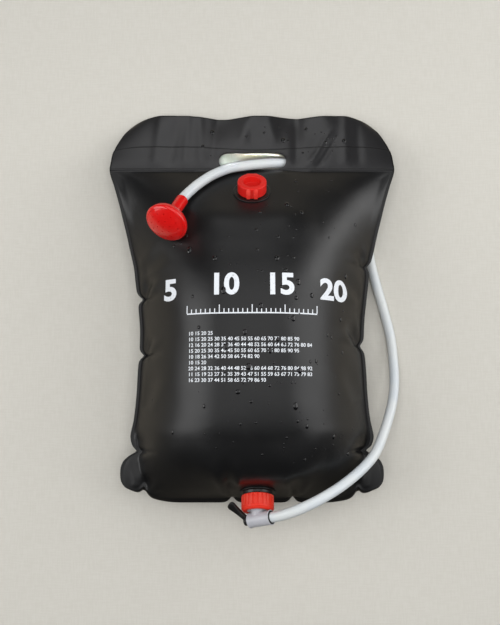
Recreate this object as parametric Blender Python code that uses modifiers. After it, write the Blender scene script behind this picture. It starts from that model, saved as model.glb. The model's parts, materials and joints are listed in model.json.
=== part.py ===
"""Camp shower bag, lying filled on its back: a welded two-sheet bag with a carrying slot,
a fill port with a screwed plug cap, a lever tap under a union nut, and a hose that runs
round the back of the bag, up through the slot, to a shower head.

Metres, +Z up. +X is to the bag's left hand side as it hangs, +Y runs up the bag to its
carrying slot, and the origin is the middle of the flat patch that the bag lies on.
"""

import math

import bmesh
import bpy
from mathutils import Matrix, Vector

# Clearances and walls
GAP = 0.0003
OVERRUN = 0.004
SHEET_WALL = 0.0008
MERGE = 0.00001

# The bag's outline, lying filled
BAG_LENGTH = 0.561
BAG_HALF_WIDTH = 0.2045
HEADER_DEPTH = 0.094
BOTTOM_EDGE_Y = -0.230
SIDE_FLANGE = 0.0048
BOTTOM_FLANGE = 0.0070
TOP_CORNER_DROP = 0.014
BOTTOM_CORNER_RISE = 0.021
BOTTOM_CORNER_REACH = 0.060
TOP_CORNER_START_SHARE = 0.75
BOTTOM_CORNER_START_SHARE = 0.60

# Share of the length from the bottom edge, and share of the half width
OUTLINE_SHARES = (
    (0.000, 0.841), (0.036, 0.885), (0.080, 0.885), (0.125, 0.807), (0.162, 0.821),
    (0.241, 0.795), (0.321, 0.778), (0.410, 0.768), (0.501, 0.782), (0.583, 0.814),
    (0.665, 0.869), (0.749, 0.929), (0.832, 1.000), (0.881, 0.993), (0.927, 0.949),
    (0.963, 0.885), (1.000, 0.841),
)

# The bag's heights
SEAM_HEIGHT = 0.058
CROWN_RISE = 0.112
# Share of the length from the bottom edge, and share of the seam's height
SEAM_HEIGHT_SHARES = (
    (0.000, 0.948), (0.160, 0.970), (0.410, 1.000), (0.700, 0.950), (0.832, 0.845),
    (0.900, 0.610), (1.000, 0.240),
)
SIDE_FULLNESS = 2.8
TOP_FULLNESS = 2.1
BOTTOM_FULLNESS = 6.0
UNDERSIDE_ROLL = 0.075
UNDERSIDE_CURVE = 1.5
HALF_COLUMNS = 11
LOWER_ROWS = 12
UPPER_ROWS = 8
HEADER_ROWS = 5
EDGE_CROWDING = 1.5

# The standing ripples of the header flap
HEADER_RIPPLE_HEIGHT = 0.0036
# Shares of the half width for place and width, and in the middle of the ripple's height
HEADER_RIPPLE_SHARES = (
    (-0.66, 0.80, 0.13), (-0.23, -1.00, 0.14), (0.03, 0.90, 0.13), (0.31, -1.00, 0.12),
    (0.59, 0.90, 0.12),
)

# The carrying slot and the band welded round it
SLOT_WIDTH = 0.0972
SLOT_HEIGHT = 0.0270
SLOT_CENTRE_X = 0.0008
SLOT_ABOVE_WELD = 0.0175
SLOT_ENDS = 12
STRIP_ABOVE_WELD = 0.0025
STRIP_DEPTH = 0.0375
STRIP_ROWS = 3

# How far a port's flat seat reaches in the sheet, and over what length it fades
SEAT_SIDE_REACH = 0.050
SEAT_SIDE_FADE = 0.035
SEAT_SLOPE_REACH = 0.045
SEAT_SLOPE_FADE = 0.028

# The fill port and its cap
FILL_BELOW_WELD = 0.0400
FILL_FLANGE_RADIUS = 0.0262
FILL_FLANGE_THICKNESS = 0.0014
FILL_NECK_RADIUS = 0.0168
FILL_BORE_RADIUS = 0.0145
FILL_NECK_HEIGHT = 0.0118
FILL_SPIGOT_DEPTH = 0.0030
FILL_SPIGOT_WALL = 0.0016
FILL_GASKET_THICKNESS = 0.0010
CAP_RADIUS = 0.0200
CAP_HEIGHT = 0.0150
CAP_TOP_THICKNESS = 0.0022
CAP_CUP_WALL = 0.0016
CAP_CUP_DEPTH = 0.0095
CAP_EDGE_ROUND = 0.0007
CAP_LUG_WIDTH = 0.0056
CAP_LUG_GAP = 0.0044
CAP_LUG_DEPTH = 0.0024
CAP_LUG_ROUND = 0.0008
CAP_SIDES = 48

# The outlet port, its union nut and the tap's flange
OUTLET_SLOPE_DEG = 69.0
OUTLET_X = 0.0074
OUTLET_UP_SLOPE = 0.0330
OUTLET_FLANGE_RADIUS = 0.0240
OUTLET_FLANGE_THICKNESS = 0.0015
OUTLET_COLLAR_RADIUS = 0.0193
OUTLET_COLLAR_HEIGHT = 0.0058
OUTLET_NECK_RADIUS = 0.0168
OUTLET_BORE_RADIUS = 0.0125
OUTLET_NECK_HEIGHT = 0.0172
OUTLET_SPIGOT_DEPTH = 0.0030
OUTLET_SPIGOT_WALL = 0.0016
OUTLET_GASKET_THICKNESS = 0.0015
NUT_RADIUS = 0.0218
NUT_LIP_THICKNESS = 0.0030
NUT_LIP_BORE_RADIUS = 0.0146
NUT_RIB_DEPTH = 0.0009
NUT_RIBS = 26
NUT_POINTS_EACH = 4
NUT_EDGE_ROUND = 0.0012
TAP_FLANGE_THICKNESS = 0.0030
TAP_SHOULDER_RECESS = 0.0008
TAP_STEM_RADIUS = 0.0088
TAP_STEM_BORE_RADIUS = 0.0042

# The tap's barrel, plug and lever
BARREL_TURN_DEG = 33.0
BARREL_BEYOND_NUT = 0.0105
BARREL_RADIUS = 0.0094
BARREL_RIM_RADIUS = 0.0101
BARREL_RIM_WIDTH = 0.0017
BARREL_LEFT = 0.0121
BARREL_RIGHT = 0.0214
PLUG_CHAMBER_RIGHT = 0.0095
PLUG_CHAMBER_RADIUS = 0.0074
PLUG_CLEARANCE = 0.0003
PLUG_BORE_RADIUS = 0.0040
PLUG_WATERWAY_RADIUS = 0.0036
SPINDLE_RADIUS = 0.0035
SPINDLE_LENGTH = 0.0050
O_RING_SECTION_RADIUS = 0.00062
O_RING_GROOVE_WIDTH = 0.0020
O_RING_OFFSET = 0.0075
O_RING_SIDES = 6
WEB_BORE_RADIUS = 0.0048
GROMMET_SEAT_RADIUS = 0.0090
GROMMET_SEAT_DEPTH = 0.0050
GROMMET_PROUD = 0.0006
HUB_RADIUS = 0.0060
HUB_LENGTH = 0.0072
LEVER_START_DEG = 42.0
LEVER_RAKE_DEG = 33.0
LEVER_LENGTH = 0.0310
LEVER_HALF_WIDTH = 0.0060
LEVER_HALF_THICKNESS = 0.0023
# Share of the lever's length, share of its half width, share of its half thickness
LEVER_SHARES = (
    (0.00, 0.55, 0.90), (0.30, 0.58, 1.00), (0.62, 0.74, 0.95), (0.84, 0.96, 0.85),
    (0.95, 0.84, 0.70), (1.00, 0.45, 0.35),
)
LEVER_SECTION_POINTS = 12
LEVER_SQUARENESS = 0.6

# The hose
HOSE_RADIUS = 0.0070
HOSE_INSERT = 0.0100
HOSE_STEP = 0.0165
HOSE_BEVEL_RESOLUTION = 2
# Its route between the tap and the head, lying free
HOSE_ROUTE = (
    (0.0410, -0.2388, 0.1199), (0.0575, -0.2327, 0.1254), (0.0735, -0.2255, 0.1270),
    (0.0899, -0.2176, 0.1248), (0.1179, -0.2022, 0.1133), (0.1468, -0.1815, 0.0977),
    (0.1674, -0.1613, 0.0790), (0.1837, -0.1317, 0.0570), (0.1973, -0.0978, 0.0365),
    (0.2031, -0.0722, 0.0250), (0.2048, -0.0462, 0.0165), (0.2024, -0.0018, 0.0085),
    (0.1932, 0.0394, 0.0075), (0.1834, 0.0751, 0.0075), (0.1750, 0.1100, 0.0075),
    (0.1695, 0.1450, 0.0080), (0.1635, 0.1830, 0.0095), (0.1480, 0.2180, 0.0138),
    (0.1180, 0.2435, 0.0193), (0.0840, 0.2552, 0.0247), (0.0630, 0.2558, 0.0292),
    (0.0450, 0.2535, 0.0358), (0.0270, 0.2505, 0.0475), (0.0081, 0.2464, 0.0563),
    (-0.0107, 0.2430, 0.0605), (-0.0284, 0.2390, 0.0650), (-0.0431, 0.2326, 0.0704),
    (-0.0568, 0.2242, 0.0777), (-0.0684, 0.2144, 0.0860), (-0.0786, 0.2045, 0.0937),
)

# The shower head
HEAD_X = -0.1147
HEAD_Y = 0.1407
HEAD_AXIS_LEAN_DEG = 36.0
HEAD_AXIS_HEADING_DEG = 244.5
HEAD_RADIUS = 0.0300
HEAD_FACE_RISE = 0.0050
HEAD_RIM_THICKNESS = 0.0022
HEAD_WALL = 0.0020
BELL_DEPTH = 0.0200
BELL_POINTS = 6
SOCKET_RADIUS = 0.0087
SOCKET_LENGTH = 0.0360
SOCKET_ROUND = 0.0012
HEAD_WATERWAY_RADIUS = 0.0045
ROSE_RADIUS = 0.0262
ROSE_THICKNESS = 0.0016
ROSE_HOLE_RADIUS = 0.0009
ROSE_RING_PITCH = 0.0095
ROSE_RINGS = 2
ROSE_HOLES_EACH_RING = 6
ROSE_HOLE_SIDES = 6

ROUND_SIDES = 32
SMALL_SIDES = 24
SMOOTH_ANGLE = math.radians(40)


# The bag's surface

def table_value(table, share):
    """A smooth curve through a table of (share, value) rows, read at one share."""
    last = len(table) - 2
    row = max(k for k in range(last + 1) if k == 0 or table[k][0] <= share)
    before, start = table[max(row - 1, 0)], table[row]
    end, after = table[row + 1], table[min(row + 2, last + 1)]
    span = end[0] - start[0]
    t = min(max((share - start[0]) / span, 0.0), 1.0)
    leave = (end[1] - before[1]) / (end[0] - before[0]) * span
    arrive = (after[1] - start[1]) / (after[0] - start[0]) * span
    return (
        start[1] * (2 * t**3 - 3 * t**2 + 1)
        + leave * (t**3 - 2 * t**2 + t)
        + end[1] * (3 * t**2 - 2 * t**3)
        + arrive * (t**3 - t**2)
    )


def fade(distance, reach, length):
    """One up to reach, and smoothly down to nothing over the length past it."""
    t = min(max((distance - reach) / length, 0.0), 1.0)
    return 1 - t * t * (3 - 2 * t)


TOP_EDGE_Y = BOTTOM_EDGE_Y + BAG_LENGTH
WELD_Y = TOP_EDGE_Y - HEADER_DEPTH
CHAMBER_BOTTOM_Y = BOTTOM_EDGE_Y + BOTTOM_FLANGE
CHAMBER_MIDDLE_Y = (WELD_Y + CHAMBER_BOTTOM_Y) / 2
CHAMBER_HALF_LENGTH = (WELD_Y - CHAMBER_BOTTOM_Y) / 2


def length_share(row_y):
    return (row_y - BOTTOM_EDGE_Y) / BAG_LENGTH


def half_width(row_y):
    return BAG_HALF_WIDTH * table_value(OUTLINE_SHARES, length_share(row_y))


def seam_height(row_y):
    return SEAM_HEIGHT * table_value(SEAM_HEIGHT_SHARES, length_share(row_y))


def chamber_share(row_y):
    """How much of the half width lies inside the side seams."""
    return 1 - SIDE_FLANGE / half_width(row_y)


def header_wave(side, row_y):
    """How far the header flap stands off its even slope, from the band to its top edge."""
    even = STRIP_ABOVE_WELD + STRIP_DEPTH
    rise = 1 - fade(row_y - WELD_Y, even, HEADER_DEPTH - even)
    wave = sum(
        height * math.exp(-(((side - place) / width) ** 2))
        for place, height, width in HEADER_RIPPLE_SHARES
    )
    return HEADER_RIPPLE_HEIGHT * rise * wave


def flat_height(side, row_y):
    """Height of the middle of the gap between the sheets where they lie together."""
    return seam_height(row_y) + header_wave(side, row_y)


def plan_point(side, row_y):
    """Where a share of the half width on a row lies in plan, with the corners drawn in."""
    y = row_y
    if row_y > WELD_Y:
        over = max(abs(side) - TOP_CORNER_START_SHARE, 0.0) / (1 - TOP_CORNER_START_SHARE)
        y -= TOP_CORNER_DROP * over**2 * (row_y - WELD_Y) / HEADER_DEPTH
    past = max(1 - (row_y - BOTTOM_EDGE_Y) / BOTTOM_CORNER_REACH, 0.0)
    over = max(abs(side) - BOTTOM_CORNER_START_SHARE, 0.0) / (1 - BOTTOM_CORNER_START_SHARE)
    y += BOTTOM_CORNER_RISE * over**2 * past
    return side * half_width(row_y), y


def crown(side, row_y):
    """How far the filled front stands over the seam, nothing on the seams and the header."""
    along = (row_y - CHAMBER_MIDDLE_Y) / CHAMBER_HALF_LENGTH
    across = abs(side) / chamber_share(row_y)
    if abs(along) >= 1 or across >= 1:
        return 0.0
    fullness = TOP_FULLNESS if along > 0 else BOTTOM_FULLNESS
    return CROWN_RISE * (1 - across**SIDE_FULLNESS) * (1 - abs(along) ** fullness)


def underside(side, row_y):
    """Share of the seam's height that the back sheet keeps: one on the seams, none where it lies."""
    from_side = (chamber_share(row_y) - abs(side)) * half_width(row_y)
    from_end = min(WELD_Y - row_y, row_y - CHAMBER_BOTTOM_Y)
    rolls = [min(max(d / UNDERSIDE_ROLL, 0.0), 1.0) for d in (from_side, from_end)]
    settled = (1 - (1 - rolls[0]) ** 2) * (1 - (1 - rolls[1]) ** 2)
    return (1 - settled) ** UNDERSIDE_CURVE


def front_height(x, y):
    """Height of the front sheet's outer face over a place in plan, away from the corners."""
    side = min(max(x / half_width(y), -1.0), 1.0)
    return seam_height(y) + GAP / 2 + crown(side, y) + SHEET_WALL


class Port:
    """A flat seat in the front sheet, with its outward axis and the way up the slope."""

    def __init__(self, centre, outward):
        self.centre = Vector(centre)
        self.out = Vector(outward).normalized()
        self.up = Vector((1, 0, 0)).cross(self.out) * -1

    def flattened(self, point):
        """The point moved square to the seat, onto its plane where it lies on the seat."""
        offset = point - self.centre
        weight = fade(abs(offset.x), SEAT_SIDE_REACH, SEAT_SIDE_FADE)
        weight *= fade(abs(offset.dot(self.up)), SEAT_SLOPE_REACH, SEAT_SLOPE_FADE)
        return point - self.out * offset.dot(self.out) * weight

    def frame(self, height=0.0):
        """A frame on the outer face of the sheet, its Z along the port's axis."""
        return frame_at(self.centre + self.out * (SHEET_WALL + height), self.out, (1, 0, 0))


def frame_at(origin, along, across):
    """A frame with Z along one direction and X as near as it goes to another."""
    z = Vector(along).normalized()
    x = (Vector(across) - z * Vector(across).dot(z)).normalized()
    frame = Matrix((x, z.cross(x), z)).transposed().to_4x4()
    frame.translation = Vector(origin)
    return frame


def fill_port_seat():
    y = WELD_Y - FILL_BELOW_WELD
    step = SHEET_WALL
    height = front_height(0, y) - SHEET_WALL
    slope = (front_height(0, y + step) - front_height(0, y - step)) / (2 * step)
    return Port((0, y, height), (0, -slope, 1))


def outlet_port_seat():
    """The outlet's seat is the plane that rises from the bottom seam at the outlet's slope."""
    slope = math.radians(OUTLET_SLOPE_DEG)
    up = Vector((0, math.cos(slope), math.sin(slope)))
    foot = Vector((OUTLET_X, CHAMBER_BOTTOM_Y, seam_height(CHAMBER_BOTTOM_Y) + GAP / 2))
    return Port(foot + up * OUTLET_UP_SLOPE, (0, -math.sin(slope), math.cos(slope)))


FILL_SEAT = fill_port_seat()
OUTLET_SEAT = outlet_port_seat()


def front_point(side, row_y):
    """A point of the front sheet's inner face."""
    x, y = plan_point(side, row_y)
    rise = crown(side, row_y)
    point = Vector((x, y, flat_height(side, row_y) + GAP / 2 + rise))
    if rise > 0:
        point = OUTLET_SEAT.flattened(FILL_SEAT.flattened(point))
    return point


def back_point(side, row_y):
    """A point of the back sheet's outer face."""
    x, y = plan_point(side, row_y)
    keep = underside(side, row_y)
    return Vector((x, y, (flat_height(side, row_y) - GAP / 2 - SHEET_WALL) * keep))


def strip_point(side, row_y):
    """A point of the slot band's inner face, on the front sheet."""
    x, y = plan_point(side, row_y)
    return Vector((x, y, flat_height(side, row_y) + GAP / 2 + SHEET_WALL + GAP))


# Tools for modelling

def collection(name):
    made = bpy.data.collections.new(name)
    bpy.context.scene.collection.children.link(made)
    return made


def material(name, colour, roughness, metallic=0.0):
    made = bpy.data.materials.new(name)
    made.use_nodes = True
    surface = made.node_tree.nodes["Principled BSDF"]
    surface.inputs["Base Color"].default_value = (*colour, 1)
    surface.inputs["Roughness"].default_value = roughness
    surface.inputs["Metallic"].default_value = metallic
    made.diffuse_color = (*colour, 1)
    return made


def place(name, mesh, group, finish=None, frame=None):
    """An object with a mesh, in a collection, placed by its frame."""
    made = bpy.data.objects.new(name, mesh)
    group.objects.link(made)
    made.matrix_world = frame or Matrix()
    if finish:
        mesh.materials.append(finish)
    return made


def mesh_from(build):
    """A mesh that a function fills through bmesh, facing outwards."""
    work = bmesh.new()
    build(work)
    mesh = bpy.data.meshes.new("mesh")
    work.to_mesh(mesh)
    work.free()
    return mesh


def smoothed(made):
    """Smooth shading with the sharp edges kept."""
    made.data.shade_smooth()
    made.data.set_sharp_from_angle(angle=SMOOTH_ANGLE)
    return made


def turned(name, profile, group, finish, frame, sides=ROUND_SIDES):
    """A ring or a disc turned from a profile of (radius, height), down its outer side first."""
    mesh = bpy.data.meshes.new(name)
    closed = min(radius for radius, _ in profile) > MERGE
    count = len(profile)
    edges = [(k, (k + 1) % count) for k in range(count if closed else count - 1)]
    mesh.from_pydata([(radius, 0, height) for radius, height in profile], edges, [])
    made = place(name, mesh, group, finish, frame)
    screw = made.modifiers.new("turned", "SCREW")
    screw.axis = "Z"
    screw.angle = math.tau
    screw.steps = screw.render_steps = sides
    screw.use_merge_vertices = True
    screw.merge_threshold = MERGE
    screw.use_smooth_shade = True
    return made


def boolean(target, operation, tool):
    modifier = target.modifiers.new(operation.lower(), "BOOLEAN")
    modifier.operation = operation
    modifier.solver = "EXACT"
    modifier.object = tool


def as_tool(made):
    made.hide_render = True
    made.display_type = "WIRE"
    return made


def cylinder_profile(radius, low, high):
    return [(0, high), (radius, high), (radius, low), (0, low)]


def sheet(name, point_at, sides, rows, group, finish):
    """A welded sheet: a grid laid on the bag's surface and given its wall."""
    columns, bands = len(sides) - 1, len(rows) - 1

    def build(work):
        bmesh.ops.create_grid(work, x_segments=columns, y_segments=bands, size=1)
        for vertex in work.verts:
            column = round((vertex.co.x + 1) / 2 * columns)
            row = round((vertex.co.y + 1) / 2 * bands)
            vertex.co = point_at(sides[column], rows[row])
        # The same diagonals in each sheet keep their gap even
        bmesh.ops.triangulate(work, faces=work.faces, quad_method="FIXED")

    made = smoothed(place(name, mesh_from(build), group, finish))
    wall = made.modifiers.new("wall", "SOLIDIFY")
    wall.thickness = SHEET_WALL
    wall.offset = 1
    return made


def lofted(rings, closed):
    """A mesh through rings of equal counts: back to the first ring, or capped at both ends."""

    def build(work):
        loops = [[work.verts.new(point) for point in ring] for ring in rings]
        count = len(rings[0])
        pairs = list(zip(loops, loops[1:] + loops[:1])) if closed else list(zip(loops, loops[1:]))
        for lower, upper in pairs:
            for k in range(count):
                nxt = (k + 1) % count
                work.faces.new((lower[k], lower[nxt], upper[nxt], upper[k]))
        if not closed:
            work.faces.new(loops[0][::-1])
            work.faces.new(loops[-1])
        bmesh.ops.recalc_face_normals(work, faces=work.faces)

    return mesh_from(build)


# The bag

def side_stations():
    """Shares of the half width, closer together towards the seams, from left to right."""
    half = []
    for k in range(HALF_COLUMNS):
        start = (k + 0.5) / (HALF_COLUMNS - 0.5)
        half.append(1 - (1 - start) ** EDGE_CROWDING)
    half[-1] = 1.0
    return [-share for share in reversed(half)] + half


def chamber_rows():
    """Rows from the bottom edge to the top weld, closer together towards both ends."""
    lower, upper = (
        [CHAMBER_HALF_LENGTH * (1 - (1 - k / count) ** EDGE_CROWDING) for k in range(1, count + 1)]
        for count in (LOWER_ROWS, UPPER_ROWS)
    )
    below = [CHAMBER_MIDDLE_Y - step for step in reversed(lower)]
    return [BOTTOM_EDGE_Y] + below + [CHAMBER_MIDDLE_Y] + [CHAMBER_MIDDLE_Y + step for step in upper]


def header_rows():
    return [WELD_Y + HEADER_DEPTH * k / HEADER_ROWS for k in range(1, HEADER_ROWS + 1)]


def with_flange(point_at):
    """Reads a station of a chamber sheet: the outermost is the edge, the next is the seam."""

    def at(station, row_y):
        if abs(station) > 1:
            return point_at(math.copysign(1.0, station), row_y)
        return point_at(station * chamber_share(row_y), row_y)

    return at


def slot_tool(group):
    """An upright prism with round ends, through both sheets and the band."""
    shift = SLOT_WIDTH / 2 - SLOT_HEIGHT / 2

    def build(work):
        bmesh.ops.create_cone(
            work, cap_ends=True, segments=2 * SLOT_ENDS, radius1=SLOT_HEIGHT / 2,
            radius2=SLOT_HEIGHT / 2, depth=2 * SEAM_HEIGHT,
            matrix=Matrix.Rotation(math.pi / (2 * SLOT_ENDS), 4, "Z"),
        )
        for vertex in work.verts:
            vertex.co.x += math.copysign(shift, vertex.co.x)

    middle = Matrix.Translation((SLOT_CENTRE_X, WELD_Y + SLOT_ABOVE_WELD, SEAM_HEIGHT))
    return as_tool(place("slot_tool", mesh_from(build), group, frame=middle))


def port_hole_tool(name, port, radius, group):
    made = turned(name, cylinder_profile(radius, -OVERRUN, OVERRUN), group, None, port.frame())
    return as_tool(made)


def make_bag(parts, tools, finishes):
    inner = side_stations()
    stations = [-2.0] + inner + [2.0]
    rows = chamber_rows() + header_rows()
    front = sheet("front_panel", with_flange(front_point), stations, rows, parts, finishes["sheet"])
    back = sheet("back_panel", with_flange(back_point), stations, rows, parts, finishes["sheet"])
    strip_low = WELD_Y + STRIP_ABOVE_WELD
    strip_rows = [strip_low + STRIP_DEPTH * k / STRIP_ROWS for k in range(STRIP_ROWS + 1)]
    strip = sheet(
        "handle_strip", with_flange(strip_point), stations, strip_rows, parts, finishes["sheet"]
    )
    slot = slot_tool(tools)
    for piece in (front, back, strip):
        boolean(piece, "DIFFERENCE", slot)
    fill_radius = FILL_BORE_RADIUS + FILL_SPIGOT_WALL + GAP
    outlet_radius = OUTLET_BORE_RADIUS + OUTLET_SPIGOT_WALL + GAP
    boolean(front, "DIFFERENCE", port_hole_tool("fill_hole_tool", FILL_SEAT, fill_radius, tools))
    boolean(
        front, "DIFFERENCE", port_hole_tool("outlet_hole_tool", OUTLET_SEAT, outlet_radius, tools)
    )


# The fill port and its cap, measured up the port's axis from the sheet's outer face

FILL_NECK_TOP = GAP + FILL_FLANGE_THICKNESS + FILL_NECK_HEIGHT
FILL_GASKET_LOW = FILL_NECK_TOP + GAP
CAP_UNDERSIDE = FILL_GASKET_LOW + FILL_GASKET_THICKNESS + GAP
CAP_TOP = CAP_UNDERSIDE + CAP_TOP_THICKNESS


def port_profile(flange, thickness, neck, top, bore, spigot_wall, spigot_depth, collar=None):
    """A port: flange on the sheet, neck outwards, short spigot through the sheet's hole."""
    seat = GAP
    outer = [(neck, top), (neck, seat + thickness)]
    if collar:
        radius, height = collar
        outer = [(neck, top), (neck, seat + height), (radius, seat + height)]
        outer += [(radius, seat + thickness)]
    return outer + [
        (flange, seat + thickness), (flange, seat), (bore + spigot_wall, seat),
        (bore + spigot_wall, -SHEET_WALL - spigot_depth), (bore, -SHEET_WALL - spigot_depth),
        (bore, top),
    ]


def make_fill_port(parts, tools, finishes):
    frame = FILL_SEAT.frame()
    turned(
        "fill_port",
        port_profile(
            FILL_FLANGE_RADIUS, FILL_FLANGE_THICKNESS, FILL_NECK_RADIUS, FILL_NECK_TOP,
            FILL_BORE_RADIUS, FILL_SPIGOT_WALL, FILL_SPIGOT_DEPTH,
        ),
        parts, finishes["port"], frame,
    )
    turned(
        "fill_gasket",
        ring_profile(
            FILL_BORE_RADIUS, FILL_NECK_RADIUS, FILL_GASKET_LOW,
            FILL_GASKET_LOW + FILL_GASKET_THICKNESS,
        ),
        parts, finishes["rubber"], frame, SMALL_SIDES,
    )
    make_fill_cap(parts, tools, finishes, frame)


def ring_profile(inner, outer, low, high):
    return [(outer, high), (outer, low), (inner, low), (inner, high)]


def make_fill_cap(parts, tools, finishes, frame):
    """A skirt round the neck, and a plug cup down its bore that is the finger recess above."""
    skirt_inner = FILL_NECK_RADIUS + GAP
    cup_outer = FILL_BORE_RADIUS - GAP
    cup_inner = cup_outer - CAP_CUP_WALL
    floor = CAP_TOP - CAP_CUP_DEPTH
    skirt_low = CAP_TOP - CAP_HEIGHT
    low = max(skirt_low, 2 * GAP + FILL_FLANGE_THICKNESS)
    profile = [
        (0, floor), (cup_inner, floor), (cup_inner, CAP_TOP - CAP_EDGE_ROUND),
        (cup_inner + CAP_EDGE_ROUND, CAP_TOP), (CAP_RADIUS - CAP_EDGE_ROUND, CAP_TOP),
        (CAP_RADIUS, CAP_TOP - CAP_EDGE_ROUND), (CAP_RADIUS, low), (skirt_inner, low),
        (skirt_inner, CAP_UNDERSIDE), (cup_outer, CAP_UNDERSIDE),
        (cup_outer, floor - CAP_CUP_WALL), (0, floor - CAP_CUP_WALL),
    ]
    cap = turned("fill_cap", profile, parts, finishes["cap"], frame, CAP_SIDES)
    for turn, side in ((0, "front"), (1, "back")):
        for sign in (-1, 1):
            name = f"cap_lug_tool_{side}_{'left' if sign < 0 else 'right'}"
            lug = cap_lug(name, sign, turn, low, tools, frame)
            boolean(cap, "UNION", lug)


def cap_lug(name, sign, turn, low, group, frame):
    """One grip lug, an upright bar on the skirt, with its top edge eased."""
    inner, outer = CAP_RADIUS - CAP_LUG_DEPTH, CAP_RADIUS + CAP_LUG_DEPTH / 2
    near = CAP_LUG_GAP / 2
    far = near + CAP_LUG_WIDTH
    high = CAP_TOP - CAP_EDGE_ROUND
    rings = []
    for height, ease in ((low, 0.0), (high - CAP_LUG_ROUND, 0.0), (high, CAP_LUG_ROUND)):
        rings.append([
            (near + ease, -inner, height), (far - ease, -inner, height),
            (far - ease, -outer + ease, height), (near + ease, -outer + ease, height),
        ])
    mirrored = Matrix.Scale(sign, 4, (1, 0, 0))
    rings = [[mirrored @ Vector(point) for point in ring] for ring in rings]
    turned_frame = frame @ Matrix.Rotation(turn * math.pi, 4, "Z")
    return as_tool(place(name, lofted(rings, False), group, frame=turned_frame))


# The outlet port and union nut, measured out along the port's axis from the sheet's outer face

OUTLET_NECK_TOP = GAP + OUTLET_FLANGE_THICKNESS + OUTLET_NECK_HEIGHT
OUTLET_GASKET_LOW = OUTLET_NECK_TOP + GAP
TAP_FLANGE_LOW = OUTLET_GASKET_LOW + OUTLET_GASKET_THICKNESS + GAP
NUT_LIP_LOW = TAP_FLANGE_LOW + TAP_FLANGE_THICKNESS + GAP
NUT_HIGH = NUT_LIP_LOW + NUT_LIP_THICKNESS
NUT_LOW = GAP + OUTLET_COLLAR_HEIGHT + GAP
NUT_BORE_RADIUS = OUTLET_NECK_RADIUS + 2 * GAP
BARREL_HEIGHT = NUT_HIGH + BARREL_BEYOND_NUT


def make_outlet_port(parts, finishes):
    frame = OUTLET_SEAT.frame()
    turned(
        "outlet_port",
        port_profile(
            OUTLET_FLANGE_RADIUS, OUTLET_FLANGE_THICKNESS, OUTLET_NECK_RADIUS, OUTLET_NECK_TOP,
            OUTLET_BORE_RADIUS, OUTLET_SPIGOT_WALL, OUTLET_SPIGOT_DEPTH,
            (OUTLET_COLLAR_RADIUS, OUTLET_COLLAR_HEIGHT),
        ),
        parts, finishes["port"], frame,
    )
    turned(
        "outlet_gasket",
        ring_profile(
            OUTLET_BORE_RADIUS, OUTLET_NECK_RADIUS, OUTLET_GASKET_LOW,
            OUTLET_GASKET_LOW + OUTLET_GASKET_THICKNESS,
        ),
        parts, finishes["rubber"], frame, SMALL_SIDES,
    )
    place("outlet_nut", ribbed_nut(), parts, finishes["nut"], frame)


def nut_ring(radius, height, rib_depth=0.0):
    """A ring of the nut, drawn in between its ribs where it has a rib depth."""
    count = NUT_RIBS * NUT_POINTS_EACH
    points = []
    for k in range(count):
        drawn_in = rib_depth if k % NUT_POINTS_EACH >= NUT_POINTS_EACH // 2 else 0.0
        angle = math.tau * k / count
        reach = radius - drawn_in
        points.append((reach * math.cos(angle), reach * math.sin(angle), height))
    return points


def ribbed_nut():
    inner_edge = NUT_RADIUS - NUT_EDGE_ROUND
    return lofted([
        nut_ring(NUT_RADIUS, NUT_LOW, NUT_RIB_DEPTH),
        nut_ring(NUT_RADIUS, NUT_HIGH - 2 * NUT_EDGE_ROUND, NUT_RIB_DEPTH),
        nut_ring(inner_edge, NUT_HIGH - NUT_EDGE_ROUND),
        nut_ring(inner_edge - NUT_EDGE_ROUND, NUT_HIGH),
        nut_ring(NUT_LIP_BORE_RADIUS, NUT_HIGH),
        nut_ring(NUT_LIP_BORE_RADIUS, NUT_LIP_LOW),
        nut_ring(NUT_BORE_RADIUS, NUT_LIP_LOW),
        nut_ring(NUT_BORE_RADIUS, NUT_LOW),
    ], True)


# The tap, its barrel square to the outlet's axis

def barrel_frame():
    """A frame at the barrel's middle, Z towards the hose."""
    port = OUTLET_SEAT
    turn = math.radians(BARREL_TURN_DEG)
    uphill = port.out.cross(Vector((1, 0, 0)))
    along = Vector((1, 0, 0)) * math.cos(turn) + uphill * math.sin(turn)
    return frame_at(port.frame(BARREL_HEIGHT).translation, along, port.out)


def barrel_profile():
    """The barrel's outside, a rim at each end, as one solid."""
    right, left = BARREL_RIGHT, -BARREL_LEFT
    return [
        (0, right), (BARREL_RIM_RADIUS, right), (BARREL_RIM_RADIUS, right - BARREL_RIM_WIDTH),
        (BARREL_RADIUS, right - BARREL_RIM_WIDTH), (BARREL_RADIUS, left + BARREL_RIM_WIDTH),
        (BARREL_RIM_RADIUS, left + BARREL_RIM_WIDTH), (BARREL_RIM_RADIUS, left), (0, left),
    ]


def barrel_bore_profile():
    """The barrel's inside: the plug's chamber, a web, and the grommet's seat."""
    seat = BARREL_RIGHT - GROMMET_SEAT_DEPTH
    return [
        (0, BARREL_RIGHT + OVERRUN), (GROMMET_SEAT_RADIUS, BARREL_RIGHT + OVERRUN),
        (GROMMET_SEAT_RADIUS, seat), (WEB_BORE_RADIUS, seat),
        (WEB_BORE_RADIUS, PLUG_CHAMBER_RIGHT), (PLUG_CHAMBER_RADIUS, PLUG_CHAMBER_RIGHT),
        (PLUG_CHAMBER_RADIUS, -BARREL_LEFT - OVERRUN), (0, -BARREL_LEFT - OVERRUN),
    ]


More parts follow.
